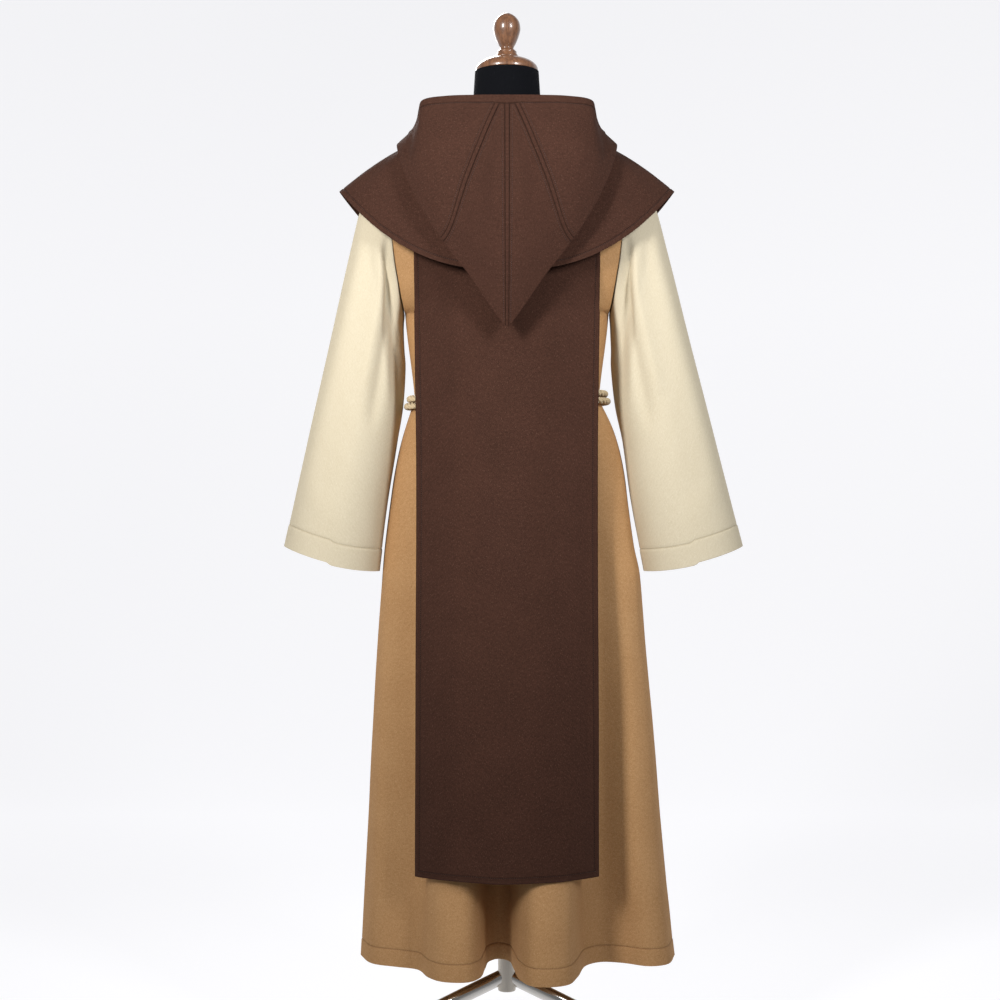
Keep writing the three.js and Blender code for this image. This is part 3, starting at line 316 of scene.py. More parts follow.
class Wire:
    """A shader socket, so that sums and products with it add Math nodes"""

    def __init__(self, finish, socket):
        self.finish = finish
        self.socket = socket

    def maths(self, operation, *values):
        return self.finish.node("ShaderNodeMath", {"operation": operation}, dict(enumerate(values)))

    def __add__(self, other):
        return self.maths("ADD", self, other)

    def __radd__(self, other):
        return self.maths("ADD", other, self)

    def __sub__(self, other):
        return self.maths("SUBTRACT", self, other)

    def __rsub__(self, other):
        return self.maths("SUBTRACT", other, self)

    def __mul__(self, other):
        return self.maths("MULTIPLY", self, other)

    def __rmul__(self, other):
        return self.maths("MULTIPLY", other, self)


class Finish:
    """A material, made node by node"""

    def __init__(self, name):
        self.material = bpy.data.materials.new(name)
        self.material.use_nodes = True
        self.tree = self.material.node_tree
        self.tree.nodes.clear()

    def node(self, kind, settings=None, sockets=None, output=0):
        made = self.tree.nodes.new(kind)
        for key, value in (settings or {}).items():
            if key == "stops":
                for stop, (position, tint) in zip(made.color_ramp.elements, value):
                    stop.position = position
                    stop.color = tint
            else:
                setattr(made, key, value)
        for key, value in (sockets or {}).items():
            if isinstance(value, Wire):
                self.tree.links.new(made.inputs[key], value.socket)
            else:
                made.inputs[key].default_value = value
        return Wire(self, made.outputs[output]) if made.outputs else None

    def millimetres(self, stretch=(1, 1, 1)):
        """Places on the flat cloth, or along a cord, in millimetres"""
        flat = self.node("ShaderNodeUVMap", {"uv_map": "Cloth"})
        scale = tuple(1000 * s for s in stretch)
        return self.node("ShaderNodeMapping", {}, {"Vector": flat, "Scale": scale})

    def solid(self, stretch=(1, 1, 1)):
        """Places in the solid, in metres times a stretch along each axis"""
        place = self.node("ShaderNodeTexCoord", {}, output=3)
        return self.node("ShaderNodeMapping", {}, {"Vector": place, "Scale": stretch})

    def speckle(self, where, size, detail=2, roughness=0.5):
        """Noise from 0 to 1, with blots of about one size"""
        sockets = {"Vector": where, "Scale": 1 / size, "Detail": detail, "Roughness": roughness}
        return self.node("ShaderNodeTexNoise", {}, sockets)

    def ramp(self, value, low, high):
        """A value that goes from 0 to 1 between two limits"""
        settings = {"interpolation_type": "SMOOTHSTEP", "clamp": True}
        return self.node("ShaderNodeMapRange", settings, {"Value": value, "From Min": low, "From Max": high})

    def blend(self, share, first, second):
        """One colour or another, by a share"""
        settings = {"data_type": "RGBA"}
        sockets = {0: share, 6: first, 7: second}
        return self.node("ShaderNodeMix", settings, sockets, output=2)

    def relief(self, height, depth, under=None):
        """Bumps of a depth in millimetres"""
        sockets = {"Height": height, "Distance": depth * MM, "Strength": 1}
        if under is not None:
            sockets["Normal"] = under
        return self.node("ShaderNodeBump", {}, sockets)

    def close(self, **sockets):
        """The finished surface, from its sockets by name"""
        named = {key.replace("_", " "): value for key, value in sockets.items()}
        surface = self.node("ShaderNodeBsdfPrincipled", {}, named)
        self.node("ShaderNodeOutputMaterial", {}, {"Surface": surface})
        return self.material


def cotton_rope():
    rope = Finish("cotton_rope")
    flat = rope.millimetres()
    fibres = rope.speckle(rope.millimetres((1.2, 0.18, 1)), 0.5, 3)
    blots = rope.speckle(flat, 9, 2)
    worn = rope.blend(blots, colour(196, 174, 136), colour(229, 212, 178))
    tint = rope.blend(rope.ramp(fibres, 0.38, 0.66), rope.blend(0.35, worn, colour(150, 122, 82)), worn)
    return rope.close(
        Base_Color=tint,
        Roughness=0.82 + 0.12 * fibres,
        Normal=rope.relief(fibres, 0.5),
        Sheen_Weight=0.25,
        Sheen_Roughness=0.5,
    )


ROPE_COTTON = cotton_rope()


def new_piece(name, bm, material, slot, *nodes):
    """A piece from its bmesh, which rides on the one body and stands for CAD nodes"""
    mesh = bpy.data.meshes.new(name)
    bm.to_mesh(mesh)
    bm.free()
    mesh.materials.append(material)
    piece = bpy.data.objects.new(name, mesh)
    scene.collection.objects.link(piece)
    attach(piece, "root")
    if nodes:
        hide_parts(*nodes)
    return piece


def bend_grid(bm, points, flat, flip=False, pressed=None):
    """A flat grid bent through an array of points, with its flat place kept as a UV map, and the
    painted shade of its grooves kept as an attribute"""
    columns, rows = points.shape[:2]
    cloth = bm.loops.layers.uv.get("Cloth") or bm.loops.layers.uv.new("Cloth")
    marked = bm.verts.layers.float.new("pressed") if pressed is not None else None
    made = bmesh.ops.create_grid(bm, x_segments=columns - 1, y_segments=rows - 1, size=0.5)
    spot = {}
    for vert in made["verts"]:
        spot[vert] = round((vert.co.x + 0.5) * (columns - 1)), round((vert.co.y + 0.5) * (rows - 1))
    faces = {face for vert in made["verts"] for face in vert.link_faces}
    for face in faces:
        face.smooth = True
        for loop in face.loops:
            loop[cloth].uv = flat[spot[loop.vert]]
    for vert, (i, j) in spot.items():
        vert.co = points[i, j]
        if marked is not None:
            vert[marked] = pressed[i, j]
    if flip:
        bmesh.ops.reverse_faces(bm, faces=list(faces))
    return made["verts"]


def frames_along(path):
    """Two directions square to a path at each of its points, without a twist"""
    forward = np.gradient(path, axis=0)
    forward = forward / np.linalg.norm(forward, axis=1, keepdims=True)
    side = np.cross(forward[0], (0.31, 0.17, 0.93))
    sides = []
    for direction in forward:
        side = side - direction * side.dot(direction)
        side = side / np.linalg.norm(side)
        sides.append(side)
    return np.array(sides), np.cross(forward, sides)


def at_lengths(wanted, reach, points):
    """The points at the wanted lengths along a line"""
    return np.stack([np.interp(wanted, reach, points[:, k]) for k in range(3)], axis=-1)


def even_steps(path, step):
    """The same path with its points one step apart"""
    reach = lengths(path)
    count = max(int(round(reach[-1] / step)), 4) + 1
    return at_lengths(np.linspace(0, reach[-1], count), reach, path)


def smooth_faces(bm):
    for face in bm.faces:
        face.smooth = True


def add_strands(bm, path, diameter=ROPE_DIAMETER, lay=ROPE_LAY):
    """Three twisted strands along a path in millimetres, with round ends"""
    path = even_steps(path, STRAND_STEP)
    side, up = frames_along(path)
    reach = lengths(path)
    radius = STRAND_RADIUS * diameter / ROPE_DIAMETER
    angles = np.linspace(0, 2 * np.pi, 11)
    taper = np.sqrt(np.clip(np.minimum(reach, reach[-1] - reach) / END_ROUNDING + 0.02, 0, 1))
    for strand in range(STRANDS):
        twist = 2 * np.pi * (reach / lay + strand / STRANDS)
        out = np.cos(twist)[:, None] * side + np.sin(twist)[:, None] * up
        middle = path + out * (radius * STRAND_CENTRE)
        spin = angles[:, None] + twist[None, :]
        ring = np.cos(spin)[..., None] * side + np.sin(spin)[..., None] * up
        points = (middle + ring * (radius * taper)[None, :, None]) * MM
        flat = np.stack(np.meshgrid(angles * radius * MM, (reach + 7 * strand) * MM, indexing="ij"), -1)
        verts = bend_grid(bm, points, flat)
        bmesh.ops.remove_doubles(bm, verts=verts, dist=1e-6)
    bmesh.ops.recalc_face_normals(bm, faces=bm.faces)


def waist_path(theta, z, out_by):
    """Points beside the waist, pushed straight out from it"""
    flat = tunic(theta, level_at(np.minimum(z - ROPE_DIAMETER / 2, WAIST_Z)))
    out = np.stack([np.cos(theta) / WAIST_X, np.sin(theta) / WAIST_DEPTH, 0 * theta], axis=-1)
    out = out / np.linalg.norm(out, axis=-1, keepdims=True)
    placed = flat + out * np.asarray(out_by(flat[..., 0]))[..., None]
    placed[..., 2] = z
    return placed


def rope_piece(name, route, node):
    bm = bmesh.new()
    add_strands(bm, route)
    return new_piece(name, bm, ROPE_COTTON, "rope", node)


def run_of_rope(piece, route, far_end, lay, **pieces):
    """Reckons where a route starts, how long it is and every sixth point of it, in metres, and keeps none of
    it
    """
    route[0] * MM
    lengths(route)[-1] * MM
    route[::6] * MM


for name, order in (("upper", 0.5), ("lower", -0.5)):
    turns = np.linspace(KNOT_TURN + END_CLEAR_OF_KNOT, KNOT_TURN + 2 * np.pi - END_CLEAR_OF_KNOT, 41)
    theta = turns % (2 * np.pi)
    height = WAIST_Z - 1 + order * WRAP_SPACING - WRAP_TILT * np.cos(theta)
    standoff = ROPE_DIAMETER / 2 + ROPE_GAP
    route = waist_path(theta, height, lambda x: standoff + WRAP_SLACK * smooth(-x / WAIST_X))
    route = smooth_path(route, 12)
    piece = rope_piece(f"rope_{name}_wrap", route, f"cincture_wrap_{name}")
    run_of_rope(piece, route, "object", "taut")


def barrel_knot(name, middle, axis, half, radius, turns, node):
    """A barrel knot: the rope coiled round itself in close turns"""
    axis = Vector(axis).normalized()
    side = axis.orthogonal().normalized()
    other = axis.cross(side)
    thick = 2 * half / (turns + 0.6)
    arc = np.linspace(0, 2 * np.pi * turns, int(16 * turns))
    climb = np.linspace(-half + thick / 2, half - thick / 2, len(arc))
    swell = radius - thick / 2
    path = np.outer(np.cos(arc), side) + np.outer(np.sin(arc), other)
    path = np.array(middle) + path * swell + np.outer(climb, axis)
    bm = bmesh.new()
    add_strands(bm, path, thick, KNOT_LAY)
    core = bmesh.ops.create_icosphere(bm, subdivisions=3, radius=1)
    turned = axis.to_track_quat("Z", "Y").to_matrix().to_4x4()
    core_size = [KNOT_CORE * MM * reach for reach in (swell, swell, half)]
    shape = Matrix.Translation(Vector(middle) * MM) @ turned @ Matrix.Diagonal((*core_size, 1))
    bmesh.ops.transform(bm, matrix=shape, verts=core["verts"])
    smooth_faces(bm)
    return new_piece(name, bm, ROPE_COTTON, "rope", node)


beside_wraps = np.array(WAIST_Z - ROPE_DIAMETER / 2)
knot_middle = waist_path(np.array(KNOT_TURN), beside_wraps, lambda x: KNOT_OUT + 0 * x)
knot_middle[2] = WAIST_Z
knot_along = Vector((-math.sin(KNOT_TURN), math.cos(KNOT_TURN), 0.25))
barrel_knot("rope_waist_knot", knot_middle, knot_along, **WAIST_KNOT, node="cincture_knot")

for label, (theta, end) in TAILS.items():
    levels = np.linspace(TAIL_START, end, 17)
    around = np.full_like(levels, theta)
    clear = ROPE_DIAMETER / 2 + ROPE_GAP + TAIL_STANDOFF
    route = smooth_path(tunic(around, levels) + tunic_outward(around, levels) * clear, 12)
    piece = rope_piece(f"rope_tail_{label}", route, f"cincture_tail_{label}")
    below = route[-1] - (0, 0, END_KNOT["half"])
    end_knot = barrel_knot(f"rope_end_knot_{label}", below, (0, 0, 1), **END_KNOT, node=f"tail_knot_{label}")
    run_of_rope(piece, route, "knot", "hanging", with_pieces=[end_knot])

# Tunic: two panels of tan brushed wool, shoulder to hem, seamed at the shoulders and sides, with a
# sewn hem. The skirt hangs in a few deep soft folds.
TUNIC_WALL = 2
TUNIC_HEM = 29
TUNIC_RIPPLE_FROM = 520
SEW_PITCH, SEW_THICK = 3.6, 0.55
TWILL_PITCH = 1.9
# How dark the painted shade in the grooves makes the cloth, as a share of its dark tint
PRESSED_SHADE = 0.34


def wool(name, tints, shade, twill, fuzz):
    """Brushed wool: a fine slanting twill under a soft nap, uneven in colour, in its light, dark and
    flecked tints, with painted shade that darkens it along its sewn grooves, seams and edges"""
    light, dark, fleck = (colour(*tint) for tint in tints)
    cloth = Finish(name)
    flat = cloth.millimetres()
    clouds = cloth.speckle(flat, 70, 3)
    mottle = cloth.speckle(flat, 5.5, 3, 0.6)
    nap = cloth.speckle(cloth.millimetres((1, 0.55, 1)), 1.5, 3, 0.65)
    hairs = cloth.speckle(cloth.millimetres((1, 0.3, 1)), 1.1, 2)
    parts = cloth.node("ShaderNodeSeparateXYZ", {}, {"Vector": flat})
    down = Wire(cloth, parts.socket.node.outputs["Y"])
    slant = (parts + down) * (2 * math.pi / TWILL_PITCH)
    ribs = slant.maths("SINE", slant) * 0.5 + 0.5
    share = cloth.ramp(0.14 * clouds + 0.3 * mottle + 0.56 * nap, 0.5 - shade * 0.3, 0.5 + shade * 0.3)
    base = cloth.blend(share, dark, light)
    flecked = cloth.blend(cloth.ramp(hairs, 0.6, 0.72) * 0.55, base, fleck)
    # Painted shade: the cloth darkens along its sewn grooves, seams and edges, where shade falls
    pressed = cloth.node("ShaderNodeAttribute", {"attribute_name": "pressed"}, output=2)
    shaded = tuple(PRESSED_SHADE * c for c in dark[:3]) + (1,)
    tint = cloth.blend(pressed * 0.75, flecked, shaded)
    height = nap * 0.6 + ribs * twill + mottle * 0.5
    return cloth.close(
        Base_Color=tint,
        Roughness=0.86 + 0.12 * nap,
        Normal=cloth.relief(height, 0.55),
        Sheen_Weight=fuzz,
        Sheen_Roughness=0.45,
        Sheen_Tint=light,
        Specular_IOR_Level=0.14,
    )


TAN_TINTS = (192, 151, 107), (167, 125, 82), (212, 178, 138)
EDGE_STEPS = np.array([0, 1, 2, 3, 3.7, 4.4, 5.2, 6.4, 7.4, 8.2, 9, 9.8, 11.2, 12.2, 13, 13.8, 15.5, 19, 25])
HEM_STEPS = np.array([0, 1.2, 3, 7, 12, 18, 24, 27, 28.2, 29, 29.8, 31, 34, 40])


def marks(total, edges, count):
    """Distances across a width: close together inside both edges, and even between them"""
    near = edges * min(1, 0.34 * total / edges[-1])
    middle = np.linspace(near[-1], total - near[-1], count + 2)[1:-1]
    return np.concatenate([near, middle, total - near[::-1]])


def respace(points, edges, count):
    """The same surface with its points at those marks along the first axis"""
    reach = lengths(points)
    made = []
    for j in range(points.shape[1]):
        at = marks(reach[-1, j], edges, count)
        made.append(at_lengths(at, reach[:, j], points[:, j]))
    return np.stack(made, axis=1)


def groove(cloth, distance, at, width, depth, dark=None):
    """A line sunk into the cloth at a distance from an edge or seam, with painted shade that darkens the
    cloth along it
    """
    bell = np.exp(-(((distance - at) / width) ** 2))
    cloth["pressed"] = np.maximum(cloth["pressed"], bell * (depth if dark is None else dark))
    return -depth * bell


def creases(cloth, rows):
    """Soft troughs and ridges: where across and how far they lean, from where to where
    down the panel as shares of it, how wide in millimetres, and how high"""
    share = cloth["top"] / (cloth["top"] + cloth["bottom"])
    total = cloth["left"] + cloth["right"]
    height = 0
    for across, lean, start, end, width, depth in rows:
        off = cloth["left"] - (across + lean * (share - start)) * total
        fade = smooth((share - start) / 0.1) * smooth((end - share) / 0.1)
        height = height + depth * fade * np.exp(-((off / width) ** 2))
    return height


RIPPLE_FADE = 200


def ripple(cloth, depth, size):
    """The slight unevenness of hanging cloth"""
    s = cloth["left"] / size
    t = cloth["top"] / size
    waves = np.sin(1.1 * s + 0.35 * t + 1) + np.sin(0.53 * s - 0.21 * t + 2.2)
    return depth * (waves + 0.7 * np.sin(1.9 * s + 0.12 * t + 4) + 0.5 * np.sin(0.9 * t - 0.4 * s)) / 2


def lay_cloth(place, side, relief, across, down, dense, closed=False):
    """A panel's points on its form, respaced and then raised or sunk by its relief, which also sets the
    painted shade of its grooves
    """
    u, v = np.meshgrid(np.linspace(0, 1, dense[0]), np.linspace(0, 1, dense[1]), indexing="ij")
    points = respace(np.swapaxes(respace(place(u, v), *across), 0, 1), *down).swapaxes(0, 1)
    left = lengths(points)
    top = lengths(points.swapaxes(0, 1)).T
    cloth = {"left": left, "right": left[-1] - left, "top": top, "bottom": top[:, -1:] - top}
    around = np.gradient(points, axis=0)
    if closed:
        around[0] = around[-1] = (points[1] - points[-2]) / 2
    out = np.cross(around, np.gradient(points, axis=1)) * side
    out = out / np.linalg.norm(out, axis=-1, keepdims=True)
    cloth["out"] = out
    cloth["pressed"] = np.zeros_like(left)
    cloth["points"] = points + out * np.asarray(relief(cloth))[..., None]
    cloth["side"] = side
    return cloth


def cloth_piece(name, cloth, wall, material, slot, node, closed=False):
    """A laid panel as a sheet with a wall, its edges slightly rounded"""
    middle = cloth["left"][-1:] / 2
    flat = np.stack([cloth["left"] - middle, cloth["top"]], axis=-1) * MM
    bm = bmesh.new()
    bend_grid(bm, cloth["points"] * MM, flat, cloth["side"] < 0, cloth["pressed"])
    if closed:
        bmesh.ops.remove_doubles(bm, verts=bm.verts, dist=1e-6)
    piece = new_piece(name, bm, material, slot, node)
    thick = piece.modifiers.new("wall", "SOLIDIFY")
    thick.thickness = wall * MM
    thick.offset = -1
    soft_edge = piece.modifiers.new("soft edge", "BEVEL")
    soft_edge.width = wall * 0.36 * MM
    soft_edge.segments = 2
    soft_edge.limit_method = "ANGLE"
    soft_edge.angle_limit = math.radians(55)
    return piece


def line_inside(cloth, edge, inset, start=0, end=1):
    """The line on a panel that runs a set distance inside one edge, and the way out from it"""
    arrays = [cloth[edge], cloth["points"], cloth["out"]]
    if edge in ("top", "bottom"):
        arrays = [a.swapaxes(0, 1) for a in arrays]
    if edge in ("right", "bottom"):
        arrays = [a[::-1] for a in arrays]
    distance, *arrays = arrays
    spots = range(int(start * distance.shape[1]), int(end * distance.shape[1]))
    return [np.array([at_lengths(inset, distance[:, j], a[:, j]) for j in spots]) for a in arrays]


def sew(bm, line):
    """A row of stitches along a line: short threads that lie in the cloth, end to end"""
    path, out = line
    reach = lengths(path)
    middles = np.arange(SEW_PITCH, reach[-1] - SEW_PITCH, SEW_PITCH)
    here = at_lengths(middles, reach, path)
    ahead = at_lengths(middles + 1, reach, path)
    up = at_lengths(middles, reach, out)
    for place, toward, normal in zip(here, ahead, up):
        forward = Vector(toward - place).normalized()
        normal = Vector(normal).normalized()
        aside = normal.cross(forward)
        turn = Matrix((forward, aside, normal)).transposed().to_4x4()
        size = Matrix.Diagonal((SEW_PITCH * 0.36 * MM, SEW_THICK * MM, SEW_THICK * 0.7 * MM, 1))
        spot = Matrix.Translation(Vector(place) * MM)
        bmesh.ops.create_icosphere(bm, subdivisions=1, radius=1, matrix=spot @ turn @ size)


def thread(name, tint):
    """Spun sewing thread"""
    yarn = Finish(name)
    ply = yarn.speckle(yarn.solid((1800, 1800, 1800)), 1, 1)
    shade = tuple(0.6 * c for c in tint[:3]) + (1,)
    return yarn.close(Base_Color=yarn.blend(ply, shade, tint), Roughness=0.6 + 0.2 * ply)


def stitches(name, lines, material, slot):
    bm = bmesh.new()
    for line in lines:
        sew(bm, line)
    return new_piece(name, bm, material, slot)


def sewn_panel(node, panel, wall, kind, lines, sewing="stitches", closed=False, **facts):
    """A laid panel of one kind of cloth with its rows of stitches"""
    material, yarn, slot = kind
    piece = cloth_piece(f"{node}_wool", panel, wall, material, slot, node, closed)
    rows = stitches(f"{node}_{sewing}", lines, yarn, slot)


TAN_THREAD = thread("tan_thread", colour(148, 108, 68))
TAN = wool("tan_wool", TAN_TINTS, 0.6, 0.35, 0.15), TAN_THREAD, "tan_wool"


def side_seams(cloth, *row):
    """The grooves at both sides of a panel, where it is seamed to its neighbours"""
    return groove(cloth, cloth["left"], 0, *row) + groove(cloth, cloth["right"], 0, *row)


def tunic_relief(cloth, rows):
    band = 0.7 * smooth((TUNIC_HEM - cloth["bottom"]) / 2)
    seam = side_seams(cloth, 2.2, 1, 0.5)
    below = smooth((cloth["top"] - TUNIC_RIPPLE_FROM) / RIPPLE_FADE)
    press = groove(cloth, cloth["bottom"], TUNIC_HEM, 1.1, 0.6, 0.5)
    return band + seam + press + creases(cloth, rows) + ripple(cloth, 1.1, 60) * below


TUNIC_BACK_CREASES = [
    (0.16, 0.02, 0.42, 0.98, 20, -4.0),
    (0.10, 0.01, 0.50, 0.95, 15, 2.2),
    (0.225, 0.03, 0.36, 0.86, 14, 2.6),
    (0.80, 0.02, 0.33, 0.94, 23, -7.5),
    (0.86, 0.03, 0.42, 0.98, 22, 3.0),
    (0.93, 0.00, 0.55, 0.95, 14, -2.0),
    (0.40, 0.00, 0.55, 0.98, 18, 2.0),
    (0.63, 0.00, 0.50, 0.98, 18, 2.0),
]
TUNIC_FRONT_CREASES = [
    (0.12, 0.02, 0.42, 0.95, 18, -4.0),
    (0.20, 0.02, 0.38, 0.88, 15, 2.6),
    (0.36, -0.02, 0.46, 0.98, 20, -3.0),
    (0.52, 0.01, 0.42, 0.92, 16, 2.4),
    (0.68, 0.02, 0.46, 0.98, 20, -3.2),
    (0.84, -0.01, 0.38, 0.92, 15, 3.0),
]


def tunic_panel(start):
    return lambda u, v: tunic(start + np.clip(u, 0.0001, 0.9999) * np.pi, 3 * v)


for name, start, rows in (("back", 0, TUNIC_BACK_CREASES), ("front", math.pi, TUNIC_FRONT_CREASES)):
    panel = lay_cloth(
        tunic_panel(start),
        -1,
        lambda cloth: tunic_relief(cloth, rows),
        across=(EDGE_STEPS[:6], 118),
        down=(HEM_STEPS, 140),
        dense=(360, 300),
    )
    hem = [line_inside(panel, "bottom", TUNIC_HEM)]
    facts = {"flat": (1.08, 1.51), "held": "hung", "area": 0.87, "rests_on": ["form_torso"]}
    sewn_panel(f"tunic_{name}", panel, TUNIC_WALL, TAN, hem, "hem_stitches", **facts)

# Sleeves: a wide tapering tube of cream wool each, set in at the armhole, falling open, with a deep
# turned hem at the cuff.
LAYER_GAP = 0.7
CUFF_HEM = 39
CUFF_CURL, OUTER_CURL_SHARE, DRAG_WIDTH, SWELL_ENDS = 9, 0.6, 0.35, 0.3
CUFF_REACH = {1: -14, -1: 9}
SLEEVE_TOP = table(
    "along x z",
    (0, SHOULDER_TIP_X, SHOULDER_TIP_Z),
    (0.06, 213, 1580),
    (0.13, 237, 1556),
    (0.2, 256, 1518),
    (0.3, 279, 1430),
    (0.45, 310, 1302),
    (0.6, 337.5, 1188),
    (0.8, 371, 1048),
    (1, 402, 920),
)
SLEEVE_UNDER = table(
    "along left right z",
    (0, UNDERARM_X, UNDERARM_X, UNDERARM_Z),
    (0.06, 180, 180, 1307),
    (0.13, 180, 181, 1286),
    (0.2, 179, 182, 1262),
    (0.3, 177, 182, 1230),
    (0.45, 181, 189, 1163),
    (0.6, 191, 202, 1100),
    (0.8, 208, 217, 995),
    (1, 222, 239, 876),
)
SLEEVE_DEPTH = table(
    "along depth drag fold",
    (0, ARMHOLE_DEPTH, 0, 0.1),
    (0.12, 67, 0.2, 0),
    (0.25, 64, 0.34, -0.25),
    (0.4, 68, 0.3, -0.6),
    (0.6, 73, 0, -0.9),
    (1, 72, 0, -1),
)
CREAM_TINTS = (207, 197, 174), (194, 182, 156), (222, 214, 197)
CREAM_THREAD = thread("cream_thread", colour(214, 196, 160))
CREAM = wool("cream_wool", CREAM_TINTS, 0.7, 0.3, 0.1), CREAM_THREAD, "cream_wool"


def sleeve(side):
    def place(u, v):
        angle = 2 * np.pi * (u + 0.5)
        top_x, top_z = along(SLEEVE_TOP, v, "x", "z")
        top_x = top_x + CUFF_REACH[side] * v
        under_x, under_z = along(SLEEVE_UNDER, v, "left" if side > 0 else "right", "z")
        depth, drag, fold = along(SLEEVE_DEPTH, v, "depth", "drag", "fold")
        outward = np.cos(angle)
        drawn = 1 - drag * smooth((fold - outward) / DRAG_WIDTH + 0.3)
        curl = CUFF_CURL * v**8 * np.sin(angle) ** 2 * np.where(outward < 0, 1, OUTER_CURL_SHARE)
        swell = YOKE_SWELL * np.sin(np.pi * (1 + outward) / 2) * (1 - smooth(v / SWELL_ENDS))
        x = mix(under_x, top_x, (1 + outward) / 2) + LAYER_GAP + swell
        z = mix(under_z, top_z, (1 + outward) / 2) - curl
        return np.stack([side * x, depth * np.sin(angle) * drawn, z], axis=-1)

    return place


SLEEVE_CREASES = [
    (0.21, 0.06, 0.03, 0.52, 16, 3.6),
    (0.155, 0.05, 0.05, 0.58, 14, -4.2),
    (0.31, -0.02, 0.08, 0.88, 30, -2.6),
    (0.38, 0.00, 0.12, 0.90, 26, 2.2),
    (0.44, 0.01, 0.25, 0.85, 24, -1.6),
    (0.79, -0.06, 0.03, 0.52, 16, 3.6),
    (0.845, -0.05, 0.05, 0.58, 14, -4.2),
    (0.69, 0.02, 0.08, 0.88, 30, -2.6),
    (0.62, 0.00, 0.12, 0.90, 26, 2.2),
]


def sleeve_relief(cloth):
    band = 0.8 * smooth((CUFF_HEM - cloth["bottom"]) / 2)
    press = groove(cloth, cloth["bottom"], CUFF_HEM, 1.2, 0.7, 0.5)
    armhole = groove(cloth, cloth["top"], 0, 2.5, 1, 0.4)
    return band + press + armhole + creases(cloth, SLEEVE_CREASES) + ripple(cloth, 0.7, 45)


CUFF_STEPS = np.array([0, 1.2, 3, 8, 16, 26, 34, 37.4, 38.3, 39, 39.8, 41.4, 46, 52])
for label, side in (("left", 1), ("right", -1)):
    panel = lay_cloth(
        sleeve(side),
        -side,
        sleeve_relief,
        across=(EDGE_STEPS[:4], 90),
        down=(CUFF_STEPS, 80),
        dense=(240, 220),
        closed=True,
    )
    hem = [line_inside(panel, "bottom", CUFF_HEM)]
    facts = {"flat": (0.68, 0.72), "held": "hung", "area": 0.276, "rests_on": ["tunic_back"]}
    sewn_panel(f"sleeve_{label}", panel, TUNIC_WALL, CREAM, hem, closed=True, **facts)

# Scapular: one long panel of dark brown wool down the back and one down the front, joined on the
# shoulders, with a firm row of topstitching and a faint one inside its edges.
SCAPULAR_HALF_WIDTH, SCAPULAR_TAPER = 152, 8
NECK_EASE, NECK_EASE_NONE, NECK_EASE_FULL, LOOSE_BACK = 1.5, 120, 90, 0.9
SCAPULAR_HANG = table(
    "z middle bow",
    (SCAPULAR_HEM_Z, 205, 65),
    (700, 172, 48),
    (1000, 134, 39),
    (WAIST_Z, 117, 31),
    (1320, 116, 41),
    (1420, 100, 56),
    (1660, 30, 56),
)
SEW_INSET, SECOND_INSET = 9.8, 6.4
SCAPULAR_RIPPLE_FROM = 250
BROWN_TINTS = (75, 48, 38), (48, 29, 21), (106, 78, 64)
BROWN_WOOL = wool("brown_wool", BROWN_TINTS, 0.8, 0.4, 0.05)
BROWN_THREAD = thread("brown_thread", colour(66, 40, 30))
BROWN = BROWN_WOOL, BROWN_THREAD, "brown_wool"


def theta_at(x, level, back):
    """Where round the tunic a given x lies at a level"""
    low = np.full(x.shape, 0 if back else np.pi)
    high = low + np.pi
    for _ in range(26):
        middle = (low + high) / 2
        onward = (tunic(middle, level)[..., 0] > x) == back
        low = np.where(onward, middle, low)
        high = np.where(onward, high, middle)
    return (low + high) / 2


def soft_max(a, b, softness):
    return (a + b + np.hypot(a - b, softness)) / 2


def scapular(back):
    lowest = float(level_at(np.array(SCAPULAR_HEM_Z)))

    def place(u, v):
        share = 1 - 2 * u if back else 2 * u - 1
        level = lowest * v
        x = share * (SCAPULAR_HALF_WIDTH + SCAPULAR_TAPER * (1 - v) ** 1.5)
        theta = theta_at(x, level, back)
        near_neck = (NECK_EASE_NONE - np.abs(x)) / (NECK_EASE_NONE - NECK_EASE_FULL)
        ease = NECK_EASE * smooth(near_neck) * smooth((0.5 - level) / 0.3)
        loose = LOOSE_BACK * smooth(level / 0.3)
        clear = LAYER_GAP + ease + loose + TUNIC_WALL
        laid = tunic(theta, level) + tunic_outward(theta, level) * clear[..., None]
        middle, bow = along(SCAPULAR_HANG, laid[..., 2], "middle", "bow")
        on_body = laid[..., 1] if back else -laid[..., 1]
        free = soft_max(on_body, middle - bow * share**2, 6)
        depth = mix(on_body, free, smooth((level - 0.3) / 0.4))
        laid[..., 1] = depth if back else -depth
        return laid

    return place


def sewn_edge(cloth, distance):
    """An edge turned under and sewn down by a firm row, with a faint one outside it"""
    firm = groove(cloth, distance, SEW_INSET, 1.1, 0.9, 0.8)
    faint = groove(cloth, distance, SECOND_INSET, 1, 0.3)
    rim = groove(cloth, distance, 0, 1.5, 0.5, 0.3)
    return firm + faint + rim + 0.5 * smooth((SEW_INSET - distance) / 2)


SCAPULAR_CREASES = [
    (0.30, 0.03, 0.25, 0.95, 22, 1.6),
    (0.48, -0.02, 0.35, 0.98, 28, -1.8),
    (0.70, 0.02, 0.20, 0.85, 24, 1.5),
    (0.07, 0.01, 0.30, 0.70, 12, -1.2),
    (0.93, 0.00, 0.45, 0.95, 12, -1.2),
]


def scapular_relief(cloth):
    edges = sewn_edge(cloth, np.minimum(np.minimum(cloth["left"], cloth["right"]), cloth["bottom"]))
    hanging = smooth((cloth["top"] - SCAPULAR_RIPPLE_FROM) / RIPPLE_FADE)
    return edges + creases(cloth, SCAPULAR_CREASES) + ripple(cloth, 0.8, 55) * hanging


